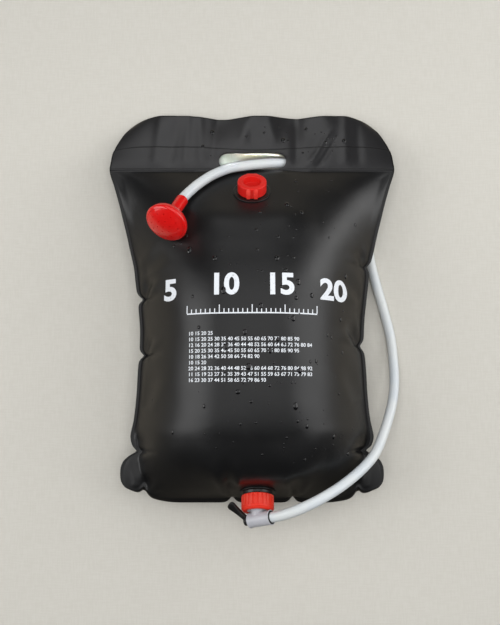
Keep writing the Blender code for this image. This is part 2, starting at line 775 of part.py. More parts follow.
def make_tap(parts, tools, finishes):
    frame = OUTLET_SEAT.frame()
    barrel = barrel_frame()
    shoulder = NUT_LIP_BORE_RADIUS - 2 * GAP
    shoulder_top = NUT_HIGH - TAP_SHOULDER_RECESS
    flange_top = TAP_FLANGE_LOW + TAP_FLANGE_THICKNESS
    stem = [
        (0, BARREL_HEIGHT), (TAP_STEM_RADIUS, BARREL_HEIGHT), (TAP_STEM_RADIUS, shoulder_top),
        (shoulder, shoulder_top), (shoulder, flange_top), (OUTLET_NECK_RADIUS, flange_top),
        (OUTLET_NECK_RADIUS, TAP_FLANGE_LOW), (0, TAP_FLANGE_LOW),
    ]
    body = turned("tap_body", stem, parts, finishes["tap"], frame)
    outside = turned("barrel_tool", barrel_profile(), tools, None, barrel)
    inside = turned("barrel_bore_tool", barrel_bore_profile(), tools, None, barrel)
    way = turned(
        "stem_bore_tool",
        cylinder_profile(TAP_STEM_BORE_RADIUS, TAP_FLANGE_LOW - OVERRUN, BARREL_HEIGHT),
        tools, None, frame, SMALL_SIDES,
    )
    boolean(body, "UNION", as_tool(outside))
    boolean(body, "DIFFERENCE", as_tool(inside))
    boolean(body, "DIFFERENCE", as_tool(way))
    make_plug(parts, tools, finishes, barrel)
    make_lever(parts, tools, finishes, barrel)
    turned(
        "hose_grommet",
        ring_profile(
            WEB_BORE_RADIUS, GROMMET_SEAT_RADIUS - GAP,
            BARREL_RIGHT - GROMMET_SEAT_DEPTH + GAP, BARREL_RIGHT + GROMMET_PROUD,
        ),
        parts, finishes["rubber"], barrel, SMALL_SIDES,
    )


def plug_radius():
    return PLUG_CHAMBER_RADIUS - PLUG_CLEARANCE


def groove_radius():
    return PLUG_CHAMBER_RADIUS - 2 * GAP - 2 * O_RING_SECTION_RADIUS


def make_plug(parts, tools, finishes, barrel):
    """The turning plug: open to the hose, a waterway in its side, two ringed grooves."""
    radius, groove = plug_radius(), groove_radius()
    right = PLUG_CHAMBER_RIGHT - GAP
    outer = [(PLUG_BORE_RADIUS, right), (radius, right)]
    for middle in (O_RING_OFFSET, -O_RING_OFFSET):
        high, low = middle + O_RING_GROOVE_WIDTH / 2, middle - O_RING_GROOVE_WIDTH / 2
        outer += [(radius, high), (groove, high), (groove, low), (radius, low)]
    floor = -O_RING_OFFSET + O_RING_GROOVE_WIDTH
    spindle_end = -BARREL_LEFT - SPINDLE_LENGTH
    profile = outer + [
        (radius, -BARREL_LEFT), (SPINDLE_RADIUS, -BARREL_LEFT), (SPINDLE_RADIUS, spindle_end),
        (0, spindle_end),
    ]
    profile = [(0, floor), (PLUG_BORE_RADIUS, floor)] + profile
    plug = turned("tap_plug", profile, parts, finishes["tap"], barrel, SMALL_SIDES)
    # The waterway faces the stem, which lies along the barrel frame's -X
    side_frame = barrel @ frame_at((0, 0, 0), (-1, 0, 0), (0, 1, 0))
    way = turned(
        "waterway_tool", cylinder_profile(PLUG_WATERWAY_RADIUS, 0, radius + OVERRUN), tools, None,
        side_frame, SMALL_SIDES // 2,
    )
    boolean(plug, "DIFFERENCE", as_tool(way))
    middle_radius = groove + GAP + O_RING_SECTION_RADIUS
    for number, middle in ((1, O_RING_OFFSET), (2, -O_RING_OFFSET)):
        ring = [
            (
                middle_radius + O_RING_SECTION_RADIUS * math.cos(math.tau * k / O_RING_SIDES),
                middle - O_RING_SECTION_RADIUS * math.sin(math.tau * k / O_RING_SIDES),
            )
            for k in range(O_RING_SIDES)
        ]
        turned(f"tap_o_ring_{number}", ring, parts, finishes["rubber"], barrel, SMALL_SIDES)


def lever_section(centre, wide, thick, half_width_here, half_thickness_here):
    """A soft-cornered section of the lever, square to its length."""
    points = []
    for k in range(LEVER_SECTION_POINTS):
        angle = math.tau * k / LEVER_SECTION_POINTS
        c, s = math.cos(angle), math.sin(angle)
        across = math.copysign(abs(c) ** LEVER_SQUARENESS, c) * half_width_here
        through = math.copysign(abs(s) ** LEVER_SQUARENESS, s) * half_thickness_here
        points.append(centre + wide * across + thick * through)
    return points


def make_lever(parts, tools, finishes, barrel):
    """A hub on the plug's spindle with a raked paddle, in the barrel's own frame."""
    hub_near = -BARREL_LEFT - GAP
    hub_far = hub_near - HUB_LENGTH
    hub = cylinder_profile(HUB_RADIUS, hub_far, hub_near)
    lever = turned("tap_lever", hub, parts, finishes["lever"], barrel, SMALL_SIDES)
    bore = turned(
        "spindle_bore_tool",
        cylinder_profile(SPINDLE_RADIUS + GAP, hub_near - SPINDLE_LENGTH, hub_near + OVERRUN),
        tools, None, barrel, SMALL_SIDES,
    )
    start, rake = math.radians(LEVER_START_DEG), math.radians(LEVER_RAKE_DEG)
    radial = Vector((-math.cos(start), -math.sin(start), 0))
    thick = Vector((math.sin(start), -math.cos(start), 0))
    along = radial * math.cos(rake) - Vector((0, 0, 1)) * math.sin(rake)
    wide = along.cross(thick)
    root = Vector((0, 0, (hub_near + hub_far) / 2)) + radial * HUB_RADIUS / 2
    rings = [
        lever_section(
            root + along * (LEVER_LENGTH * share), wide, thick,
            LEVER_HALF_WIDTH * width_share, LEVER_HALF_THICKNESS * thickness_share,
        )
        for share, width_share, thickness_share in LEVER_SHARES
    ]
    paddle = as_tool(place("paddle_tool", lofted(rings, False), tools, frame=barrel))
    boolean(lever, "UNION", paddle)
    boolean(lever, "DIFFERENCE", as_tool(bore))


# The shower head, resting on the front sheet

def head_axis():
    lean, heading = math.radians(HEAD_AXIS_LEAN_DEG), math.radians(HEAD_AXIS_HEADING_DEG)
    return Vector((
        math.cos(lean) * math.cos(heading), math.cos(lean) * math.sin(heading), math.sin(lean)
    ))


def mouth_depth():
    return BELL_DEPTH + SOCKET_LENGTH


def bell_curve(radius, inner, high, low):
    """Points of a bell's quarter round, from its wide end in to its narrow end."""
    points = []
    for k in range(1, BELL_POINTS + 1):
        angle = math.pi / 2 * k / BELL_POINTS
        points.append((
            inner + (radius - inner) * math.cos(angle), high - (high - low) * math.sin(angle)
        ))
    return points


def head_outside():
    """The head's outer profile: the lip round the rose, the rim, the bell and the socket."""
    rim_middle = HEAD_RIM_THICKNESS / 2
    lip = [(ROSE_RADIUS + GAP, HEAD_FACE_RISE / 4), (HEAD_RADIUS - rim_middle, 0)]
    rim = [(HEAD_RADIUS, -rim_middle), (HEAD_RADIUS, -HEAD_RIM_THICKNESS)]
    bell = bell_curve(HEAD_RADIUS, SOCKET_RADIUS, -HEAD_RIM_THICKNESS, -BELL_DEPTH)
    mouth = -mouth_depth()
    socket = [(SOCKET_RADIUS, mouth + SOCKET_ROUND), (SOCKET_RADIUS - SOCKET_ROUND / 2, mouth)]
    return lip + rim + bell + socket


def head_frame():
    """A frame at the middle of the rim, Z out of the face, as low as the head comes to rest."""
    frame = frame_at((HEAD_X, HEAD_Y, 0), head_axis(), (0, 0, 1))
    lift = []
    for k in range(ROUND_SIDES):
        angle = math.tau * k / ROUND_SIDES
        circle = Vector((math.cos(angle), math.sin(angle), 0))
        for radius, height in head_outside():
            point = frame @ (circle * radius + Vector((0, 0, height)))
            # Square to a slope the sheet's wall reaches up to a wall higher than on the level
            lift.append(front_height(point.x, point.y) + SHEET_WALL + GAP - point.z)
    frame.translation.z = max(lift)
    return frame


def make_head(parts, tools, finishes):
    frame = head_frame()
    lip_inner = ROSE_RADIUS + GAP
    seat = -HEAD_RIM_THICKNESS / 2
    mouth = -mouth_depth()
    bore = HOSE_RADIUS + GAP
    stop = mouth + HOSE_INSERT + GAP
    inside = [
        (bore, mouth), (bore, stop), (HEAD_WATERWAY_RADIUS, stop),
        (HEAD_WATERWAY_RADIUS, -BELL_DEPTH),
    ]
    room, ceiling = lip_inner - HEAD_WALL, seat - HEAD_WALL / 2 - HEAD_WALL
    dome = bell_curve(room, HEAD_WATERWAY_RADIUS, ceiling, HEAD_WALL - BELL_DEPTH)
    inside += dome[::-1]
    inside += [(room, ceiling), (room, seat - HEAD_WALL / 2), (lip_inner, seat - HEAD_WALL / 2)]
    turned("shower_head_body", head_outside() + inside, parts, finishes["head"], frame)
    make_rose(parts, tools, finishes, frame, seat - HEAD_WALL / 2 + GAP)


def rose_height(radius, low):
    """The rose's crowned face over its seat."""
    return low + ROSE_THICKNESS + HEAD_FACE_RISE * (1 - (radius / ROSE_RADIUS) ** 2)


def make_rose(parts, tools, finishes, frame, low):
    shares = (0.0, 0.40, 0.75, 1.0)
    outer = [(ROSE_RADIUS * share, rose_height(ROSE_RADIUS * share, low)) for share in shares]
    inner_shares = shares[::-1]
    under = [
        (ROSE_RADIUS * share, rose_height(ROSE_RADIUS * share, low) - ROSE_THICKNESS)
        for share in inner_shares
    ]
    rose = turned("shower_head_rose", outer + under, parts, finishes["head"], frame)
    number = 0
    for ring in range(ROSE_RINGS + 1):
        count = max(ring * ROSE_HOLES_EACH_RING, 1)
        for k in range(count):
            angle = math.tau * k / count
            reach = ring * ROSE_RING_PITCH
            middle = Matrix.Translation((reach * math.cos(angle), reach * math.sin(angle), 0))
            depth = HEAD_FACE_RISE + ROSE_THICKNESS + OVERRUN
            number += 1
            tool = turned(
                f"rose_hole_tool_{number}", cylinder_profile(ROSE_HOLE_RADIUS, low - OVERRUN, depth),
                tools, None, frame @ middle, ROSE_HOLE_SIDES,
            )
            boolean(rose, "DIFFERENCE", as_tool(tool))


# The hose

def route_points():
    """The hose's route from the grommet's face to its seat in the head's socket."""
    barrel, head = barrel_frame(), head_frame()
    start = barrel @ Vector((0, 0, BARREL_RIGHT + GROMMET_PROUD + GAP))
    lead = barrel @ Vector((0, 0, BARREL_RIGHT + GROMMET_PROUD + GAP + HOSE_RADIUS))
    mouth = -mouth_depth()
    end = head @ Vector((0, 0, mouth + HOSE_INSERT))
    entry = head @ Vector((0, 0, mouth - HOSE_RADIUS))
    return [start, lead, *[Vector(point) for point in HOSE_ROUTE], entry, end]


def spline_point(points, knots, segment, t):
    """A place on the smooth curve between two of the route's points."""
    window = range(segment - 1, segment + 3)
    ends = [min(max(k, 0), len(points) - 1) for k in window]
    p0, p1, p2, p3 = (points[k] for k in ends)
    k0, k1, k2, k3 = (knots[k] for k in ends)
    span = k2 - k1
    leave = (p2 - p0) / (k2 - k0) * span
    arrive = (p3 - p1) / (k3 - k1) * span
    return (
        p1 * (2 * t**3 - 3 * t**2 + 1)
        + leave * (t**3 - 2 * t**2 + t)
        + p2 * (3 * t**2 - 2 * t**3)
        + arrive * (t**3 - t**2)
    )


def smooth_route(points, step):
    """Points about a step apart on a smooth curve through the route's points."""
    knots = [0.0]
    for before, after in zip(points, points[1:]):
        knots.append(knots[-1] + (after - before).length)
    out = [points[0]]
    for segment in range(len(points) - 1):
        count = max(round((knots[segment + 1] - knots[segment]) / step), 1)
        for k in range(1, count + 1):
            out.append(spline_point(points, knots, segment, k / count))
    return out


def make_hose(parts, finishes):
    points = smooth_route(route_points(), HOSE_STEP)
    curve = bpy.data.curves.new("hose", "CURVE")
    curve.dimensions = "3D"
    curve.bevel_depth = HOSE_RADIUS
    curve.bevel_resolution = HOSE_BEVEL_RESOLUTION
    curve.use_fill_caps = True
    spline = curve.splines.new("POLY")
    spline.points.add(len(points) - 1)
    for knot, point in zip(spline.points, points):
        knot.co = (*point, 1)
    made = bpy.data.objects.new("hose", curve)
    curve.materials.append(finishes["hose"])
    parts.objects.link(made)


def main():
    for old in list(bpy.data.objects):
        bpy.data.objects.remove(old)
    parts, tools = collection("camp_shower_bag"), collection("cutters")
    finishes = {
        "sheet": material("black_vinyl_sheet", (0.020, 0.020, 0.022), 0.42),
        "port": material("black_port_plastic", (0.018, 0.018, 0.018), 0.40),
        "rubber": material("black_rubber", (0.012, 0.012, 0.012), 0.70),
        "cap": material("red_cap_plastic", (0.560, 0.012, 0.010), 0.34),
        "nut": material("red_nut_plastic", (0.600, 0.030, 0.018), 0.40),
        "head": material("red_head_plastic", (0.580, 0.010, 0.012), 0.28),
        "tap": material("white_tap_plastic", (0.620, 0.630, 0.660), 0.32),
        "lever": material("black_lever_plastic", (0.016, 0.015, 0.014), 0.45),
        "hose": material("white_hose_vinyl", (0.560, 0.610, 0.640), 0.30),
    }
    make_bag(parts, tools, finishes)
    make_fill_port(parts, tools, finishes)
    make_outlet_port(parts, finishes)
    make_tap(parts, tools, finishes)
    make_head(parts, tools, finishes)
    make_hose(parts, finishes)


main()
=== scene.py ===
"""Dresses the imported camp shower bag: welded vinyl sheets drawn into folds by the water, a
screwed fill cap, a lever tap under a ribbed union nut, a milky hose and a red shower head."""

import json
import logging
import math
from dataclasses import dataclass, field
from enum import Enum
from functools import cache
from typing import Any, Callable, Sequence

import bmesh
import bpy
import numpy as np
from mathutils import Matrix, Vector


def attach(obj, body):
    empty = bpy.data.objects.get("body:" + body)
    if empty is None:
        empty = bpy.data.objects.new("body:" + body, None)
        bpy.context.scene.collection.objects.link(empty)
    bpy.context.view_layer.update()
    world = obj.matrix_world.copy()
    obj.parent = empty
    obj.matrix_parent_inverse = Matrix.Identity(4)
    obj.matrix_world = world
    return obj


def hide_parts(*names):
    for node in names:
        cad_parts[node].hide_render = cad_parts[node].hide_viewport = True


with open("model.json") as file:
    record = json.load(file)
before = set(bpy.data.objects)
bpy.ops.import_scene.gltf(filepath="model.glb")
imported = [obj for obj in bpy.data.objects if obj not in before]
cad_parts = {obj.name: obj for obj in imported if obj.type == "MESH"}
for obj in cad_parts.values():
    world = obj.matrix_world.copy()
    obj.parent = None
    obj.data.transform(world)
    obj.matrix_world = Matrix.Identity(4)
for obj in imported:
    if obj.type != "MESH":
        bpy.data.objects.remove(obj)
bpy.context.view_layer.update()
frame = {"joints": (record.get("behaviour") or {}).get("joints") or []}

LOG = logging.getLogger("shower_bag")

Array = np.ndarray
Material = bpy.types.Material
Node = bpy.types.Node
Piece = bpy.types.Object
Tree = bpy.types.NodeTree
Pair = tuple[float, float]
Triple = tuple[float, float, float]
Profile = list[Triple]
Table = tuple[Pair, ...]


class Body(str, Enum):
    """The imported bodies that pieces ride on."""

    BAG = "bag"
    CAP_SEAL = "cap_seal"
    CAP = "cap"
    TAP = "tap"
    NUT = "nut"
    LEVER = "lever"
    HEAD = "head"


class Slot(str, Enum):
    """The record's material slots."""

    SHEET = "black_vinyl_sheet"
    PORT = "black_port_plastic"
    RUBBER = "black_rubber"
    CAP = "red_cap_plastic"
    NUT = "red_nut_plastic"
    HEAD = "red_head_plastic"
    TAP = "white_tap_plastic"
    LEVER = "black_lever_plastic"
    HOSE = "white_hose_vinyl"


# Node trees


class NodeSheet:
    """Adds and joins nodes in one node tree."""

    def __init__(self, tree: Tree) -> None:
        """Args: tree: the node tree to work in."""
        self.tree = tree

    def add(self, kind: str, **settings: Any) -> Node:
        """Adds a node.

        Args:
            kind: the node's Blender type name.
            **settings: attributes of the node to set.

        Returns:
            The new node.
        """
        node = self.tree.nodes.new(kind)
        for key, value in settings.items():
            setattr(node, key, value)
        return node

    def feed(self, node: Node, **values: Any) -> Node:
        """Sets or joins a node's inputs by name.

        Args:
            node: the node whose inputs are fed.
            **values: a value or an output socket for each input, with _ for a space.

        Returns:
            The same node.
        """
        for key, value in values.items():
            self.put(node.inputs[key.replace("_", " ")], value)
        return node

    def fed(self, kind: str, **values: Any) -> Any:
        """Adds a node, feeds its inputs and returns its first output."""
        return self.feed(self.add(kind), **values).outputs[0]

    def put(self, socket: bpy.types.NodeSocket, value: Any) -> None:
        """Sets a socket's value, or joins an output to it."""
        if isinstance(value, bpy.types.NodeSocket):
            self.tree.links.new(value, socket)
        else:
            socket.default_value = value

    def math(self, operation: str, *values: Any) -> Any:
        """Adds a Math node on up to three values or sockets and returns its result."""
        node = self.add("ShaderNodeMath", operation=operation)
        for socket, value in zip(node.inputs, values):
            self.put(socket, value)
        return node.outputs[0]

    def ramp(self, value: Any, low: float, high: float, at_low: float, at_high: float) -> Any:
        """Adds a Map Range node that is clamped at both ends.

        Args:
            value: the socket that is mapped.
            low: where the range starts.
            high: where the range ends.
            at_low: the result at the start.
            at_high: the result at the end.

        Returns:
            The result's socket.
        """
        node = self.add("ShaderNodeMapRange", interpolation_type="SMOOTHSTEP")
        for socket, item in zip(node.inputs, (value, low, high, at_low, at_high)):
            self.put(socket, item)
        return node.outputs[0]

    def noise(self, vector: Any, scale: Any, detail: float) -> Any:
        """Adds a Noise Texture and returns its factor."""
        return self.fed("ShaderNodeTexNoise", Vector=vector, Scale=scale, Detail=detail)

    def mix(self, factor: Any, first: Any, second: Any, blend: str = "MIX") -> Any:
        """Adds a colour Mix node.

        Args:
            factor: how much of the second colour shows.
            first: the first colour or socket.
            second: the second colour or socket.
            blend: the node's blend type.

        Returns:
            The mixed colour's socket.
        """
        node = self.add("ShaderNodeMix", data_type="RGBA", blend_type=blend)
        for index, value in ((0, factor), (6, first), (7, second)):
            self.put(node.inputs[index], value)
        return node.outputs[2]


class GroupSheet(NodeSheet):
    """A node group with named inputs and outputs."""

    SOCKETS = {int: "Int", float: "Float", tuple: "Color"}

    def __init__(
        self, kind: str, name: str, inputs: dict[str, Any], outputs: dict[str, str]
    ) -> None:
        """Makes the group.

        Args:
            kind: Shader or Geometry.
            name: the group's name.
            inputs: each input's default, or its socket's kind where it has no default.
            outputs: each output's socket's kind.
        """
        super().__init__(bpy.data.node_groups.new(name, f"{kind}NodeTree"))
        face = self.tree.interface
        for key, value in inputs.items():
            bare = isinstance(value, str)
            socket_type = f"NodeSocket{value if bare else self.SOCKETS[type(value)]}"
            socket = face.new_socket(key, in_out="INPUT", socket_type=socket_type)
            if not bare:
                socket.default_value = value
        for key, value in outputs.items():
            face.new_socket(key, in_out="OUTPUT", socket_type=f"NodeSocket{value}")
        self.given = self.add("NodeGroupInput").outputs
        self.made = self.add("NodeGroupOutput").inputs


class MaterialSheet(NodeSheet):
    """The node sheet of a new material."""

    def __init__(self, name: str) -> None:
        """Args: name: the material's name."""
        self.material = bpy.data.materials.new(name)
        self.material.use_nodes = True
        super().__init__(self.material.node_tree)
        self.where = self.add("ShaderNodeTexCoord").outputs["Object"]

    def place(self, group: Tree, **values: Any) -> Any:
        """Places a shared group with its own values and returns its outputs."""
        node = self.add("ShaderNodeGroup", node_tree=group)
        return self.feed(node, Vector=self.where, **values).outputs

    def measure(self, name: str) -> Any:
        """Returns the socket that reads one of the mesh's measures."""
        return self.add("ShaderNodeAttribute", attribute_name=name).outputs["Fac"]

    def bump(self, height: Any, distance: float, strength: float = 1.0) -> Any:
        """Adds a Bump node on a height and returns its normal."""
        return self.fed("ShaderNodeBump", Strength=strength, Distance=distance, Height=height)

    def finish(self, **values: Any) -> Material:
        """Feeds the material's shader and returns the material."""
        self.feed(self.tree.nodes["Principled BSDF"], **values)
        return self.material


def rgba(colour: Triple) -> tuple[float, float, float, float]:
    """Returns the colour with full alpha."""
    return (*colour, 1.0)


@cache
def grain_group() -> Tree:
    """Makes the group that gives a plastic its fine height and mottling.

    Returns:
        The group, made once.
    """
    sheet = GroupSheet("Shader", "plastic_grain", {
        "Vector": "Vector", "Grain Scale": 900.0, "Ripple Scale": 60.0,
        "Ripple Share": 0.5,
    }, {"Height": "Float", "Mottle": "Float"})
    where, share = sheet.given["Vector"], sheet.given["Ripple Share"]
    fine = sheet.math(
        "MULTIPLY", sheet.noise(where, sheet.given["Grain Scale"], 2.0),
        sheet.math("SUBTRACT", 1.0, share),
    )
    slow = sheet.math("MULTIPLY", sheet.noise(where, sheet.given["Ripple Scale"], 2.0), share)
    sheet.put(sheet.made["Height"], sheet.math("ADD", fine, slow))
    sheet.put(sheet.made["Mottle"], sheet.noise(where, 23.0, 4.0))
    return sheet.tree


@cache
def wear_group() -> Tree:
    """Makes the group that rubs raised edges paler and dusts in patches.

    Returns:
        The group, made once.
    """
    sheet = GroupSheet("Shader", "edge_wear_and_dust", {
        "Vector": "Vector", "Colour": (0.5, 0.5, 0.5, 1.0),
        "Rubbed": (0.7, 0.7, 0.7, 1.0), "Wear": 0.3, "Dust": 0.1,
    }, {"Colour": "Color", "Rough": "Float"})
    given = sheet.given
    raised = sheet.add("ShaderNodeNewGeometry").outputs["Pointiness"]
    edge = sheet.ramp(raised, 0.51, 0.6, 0.0, 1.0)
    patch = sheet.ramp(sheet.noise(given["Vector"], 140.0, 5.0), 0.35, 0.65, 0.2, 1.0)
    worn = sheet.math("MULTIPLY", sheet.math("MULTIPLY", edge, patch), given["Wear"])
    settled = sheet.ramp(sheet.noise(given["Vector"], 48.0, 6.0), 0.48, 0.78, 0.0, 1.0)
    dusty = sheet.math("MULTIPLY", settled, given["Dust"])
    rubbed = sheet.mix(worn, given["Colour"], given["Rubbed"])
    sheet.put(sheet.made["Colour"], sheet.mix(dusty, rubbed, (0.36, 0.34, 0.31, 1.0)))
    sheet.put(sheet.made["Rough"], sheet.math("ADD", worn, dusty))
    return sheet.tree


@cache
def weave_group() -> Tree:
    """Makes the group that gives a plain woven cloth its threads.

    Returns:
        The group, made once.
    """
    sheet = GroupSheet("Shader", "plain_weave", {
        "Vector": "Vector", "Threads": 700.0,
    }, {"Height": "Float", "Slub": "Float"})
    where, threads = sheet.given["Vector"], sheet.given["Threads"]
    height, slubs = [], []
    for axis, stretch in (("X", (1.0, 0.1, 1.0)), ("Y", (0.1, 1.0, 1.0))):
        wave = sheet.add("ShaderNodeTexWave", wave_type="BANDS", bands_direction=axis)
        sheet.feed(wave, Vector=where, Scale=threads, Distortion=1.2, Detail=1.0)
        height.append(wave.outputs["Fac"])
        placed = sheet.fed("ShaderNodeMapping", Vector=where, Scale=stretch)
        slubs.append(sheet.noise(placed, sheet.math("MULTIPLY", threads, 1.5), 2.0))
    sheet.put(sheet.made["Height"], sheet.math("ADD", *height))
    slub = sheet.math("MULTIPLY_ADD", slubs[0], 0.5, sheet.math("MULTIPLY", slubs[1], 0.5))
    sheet.put(sheet.made["Slub"], slub)
    return sheet.tree


# Finishes


@dataclass(frozen=True)
class MouldedPlastic:
    """An injection moulded plastic, with a fine grain, rubbed edges and a little dust."""

    name: str
    colour: Triple
    rubbed: Triple
    roughness: float
    grain: float = 0.00004
    wear: float = 0.25
    dust: float = 0.04
    coat: float = 0.0
    scatter: float = 0.0
    gloss: float = 0.5

    def build(self) -> Material:
        """Builds the material.

        Returns:
            The material.
        """
        sheet = MaterialSheet(self.name)
        grain = sheet.place(
            grain_group(), Grain_Scale=1500.0, Ripple_Scale=160.0, Ripple_Share=0.7
        )
        worn = sheet.place(
            wear_group(), Colour=rgba(self.colour), Rubbed=rgba(self.rubbed), Wear=self.wear,
            Dust=self.dust,
        )
        shade = sheet.ramp(grain["Mottle"], 0.3, 0.7, 0.9, 1.0)
        rough = sheet.math("MULTIPLY_ADD", grain["Mottle"], 0.16, self.roughness - 0.08)
        return sheet.finish(
            Base_Color=sheet.mix(1.0, worn["Colour"], shade, "MULTIPLY"),
            Roughness=sheet.math("MULTIPLY_ADD", worn["Rough"], 0.3, rough),
            Normal=sheet.bump(grain["Height"], self.grain), Coat_Weight=self.coat,
            Coat_Roughness=0.12, Subsurface_Weight=self.scatter,
            Subsurface_Radius=(0.004, 0.004, 0.004), Specular_IOR_Level=self.gloss,
        )


@dataclass(frozen=True)
class RolledVinyl:
    """The bag's sheet: black, satin, with its welds pressed in and a smoother flap that carries
    painted sheen, a paler colour standing in for the light it catches.
    """

    colour: Triple = (0.0038, 0.0038, 0.0041)
    # Painted sheen: the header flap's paler colour stands in for the light it catches, not a dye
    # of the sheet.
    flap_painted_sheen: Triple = (0.006, 0.0057, 0.0067)
    weld_colour: Triple = (0.0016, 0.0016, 0.0016)
    rubbed: Triple = (0.05, 0.05, 0.05)
    roughness: float = 0.38
    press: float = 0.0004
    rim: float = 0.0016
    flap_coat: float = 0.5

    def build(self) -> Material:
        """Builds the material.

        Returns:
            The material.
        """
        sheet = MaterialSheet("satin_black_vinyl")
        grain = sheet.place(
            grain_group(), Grain_Scale=1400.0, Ripple_Scale=75.0, Ripple_Share=0.62
        )
        worn = sheet.place(
            wear_group(), Colour=rgba(self.colour), Rubbed=rgba(self.rubbed), Wear=0.2, Dust=0.003
        )
        line = sheet.ramp(sheet.measure("press_line"), self.press, 2.4 * self.press, 1.0, 0.0)
        rim = sheet.ramp(sheet.measure("from_rim"), self.rim, 1.7 * self.rim, 1.0, 0.0)
        dark = sheet.math("MAXIMUM", line, rim)
        seam = sheet.measure("inside_seams")
        bead = sheet.math(
            "MULTIPLY", sheet.ramp(seam, -0.0046, -0.0034, 0.0, 1.0),
            sheet.ramp(seam, -0.0026, -0.0014, 1.0, 0.0),
        )
        flap = sheet.ramp(sheet.measure("over_weld"), -0.0004, 0.0008, 0.0, 1.0)
        # Paints the flap's sheen: a paler, mottled colour over the weld that stands in for light.
        cloud = sheet.math("MULTIPLY", flap, sheet.ramp(grain["Mottle"], 0.35, 0.65, 0.85, 1.0))
        colour = sheet.mix(cloud, worn["Colour"], rgba(self.flap_painted_sheen))
        coat = sheet.math("MULTIPLY", flap, sheet.math("SUBTRACT", 1.0, dark))
        rough = sheet.math("MULTIPLY_ADD", grain["Mottle"], 0.16, self.roughness - 0.08)
        height = sheet.math("MULTIPLY_ADD", line, -1.6, grain["Height"])
        return sheet.finish(
            Base_Color=sheet.mix(dark, colour, rgba(self.weld_colour)),
            Roughness=sheet.math("MULTIPLY_ADD", worn["Rough"], 0.4, rough),
            Normal=sheet.bump(sheet.math("MULTIPLY_ADD", bead, 0.8, height), 0.00011),
            Coat_Weight=sheet.math("MULTIPLY", coat, self.flap_coat), Coat_Roughness=0.3,
            Coat_IOR=1.7,
        )


@dataclass(frozen=True)
class MilkyVinyl:
    """The hose's soft translucent vinyl, faintly blue, with a sheen along it."""

    colour: Triple = (0.63, 0.655, 0.655)
    deep: Triple = (0.57, 0.61, 0.64)
    roughness: float = 0.3

    def build(self) -> Material:
        """Builds the material.

        Returns:
            The material.
        """
        sheet = MaterialSheet("milky_hose_vinyl")
        grain = sheet.place(grain_group(), Grain_Scale=900.0, Ripple_Scale=70.0, Ripple_Share=0.8)
        cloud = sheet.ramp(grain["Mottle"], 0.35, 0.65, 0.0, 1.0)
        return sheet.finish(
            Base_Color=sheet.mix(cloud, rgba(self.colour), rgba(self.deep)),
            Roughness=sheet.math("MULTIPLY_ADD", grain["Mottle"], 0.14, self.roughness - 0.07),
            Normal=sheet.bump(grain["Height"], 0.00005), Subsurface_Weight=0.35,
            Subsurface_Radius=(0.006, 0.006, 0.006), Coat_Weight=0.1, Coat_Roughness=0.2,
            Specular_IOR_Level=0.4,
        )


@dataclass(frozen=True)
class PrintInk:
    """White screen ink, a little broken where the vinyl has flexed."""

    colour: Triple = (0.7, 0.73, 0.77)
    under: Triple = (0.38, 0.39, 0.41)

    def build(self) -> Material:
        """Builds the material.

        Returns:
            The material.
        """
        sheet = MaterialSheet("white_screen_ink")
        grain = sheet.place(grain_group(), Grain_Scale=1600.0)
        thin = sheet.ramp(sheet.noise(sheet.where, 260.0, 6.0), 0.58, 0.76, 0.0, 0.7)
        return sheet.finish(
            Base_Color=sheet.mix(thin, rgba(self.colour), rgba(self.under)), Roughness=0.55,
            Normal=sheet.bump(grain["Height"], 0.00004),
        )


@dataclass(frozen=True)
class ClearWater:
    """The drops on the sheet, which show its black with a sharp glint."""

    under: Triple = (0.003, 0.003, 0.0034)

    def build(self) -> Material:
        """Builds the material and returns it."""
        return MaterialSheet("clear_water").finish(
            Base_Color=rgba(self.under), Roughness=0.04, IOR=1.33, Coat_Weight=0.6,
            Coat_Roughness=0.02, Coat_IOR=1.5,
        )


@dataclass(frozen=True)
class Linen:
    """The pale cloth that everything lies on, darker where glossy pieces mirror it: painted shade
    in its reflections, deepest towards the bag's foot.
    """

    colour: Triple = (0.606, 0.588, 0.536)
    thread: Triple = (0.578, 0.559, 0.505)
    # Colours the cloth shows only in glossy reflections: painted shade on its reflected image.
    mirrored: Triple = (0.42, 0.375, 0.3)
    painted_reflection_shade_at_foot: Triple = (0.1, 0.09, 0.072)

    def build(self) -> Material:
        """Builds the material.

        Returns:
            The material.
        """
        sheet = MaterialSheet("pale_linen")
        weave = sheet.place(weave_group(), Threads=340.0)
        slub = sheet.ramp(weave["Slub"], 0.38, 0.62, 0.0, 1.0)
        colour = sheet.mix(slub, rgba(self.colour), rgba(self.thread))
        split = sheet.feed(sheet.add("ShaderNodeSeparateXYZ"), Vector=sheet.where)
        # Painted reflection shade: darker towards the bag's foot, seen only by glossy rays.
        foot = sheet.ramp(split.outputs["Y"], -0.3, -0.19, 1.0, 0.0)
        mirrored = sheet.mix(foot, rgba(self.mirrored), rgba(self.painted_reflection_shade_at_foot))
        glossy = sheet.add("ShaderNodeLightPath").outputs["Is Glossy Ray"]
        return sheet.finish(
            Base_Color=sheet.mix(glossy, colour, mirrored), Roughness=0.9,
            Normal=sheet.bump(weave["Height"], 0.0003, 0.5),
        )


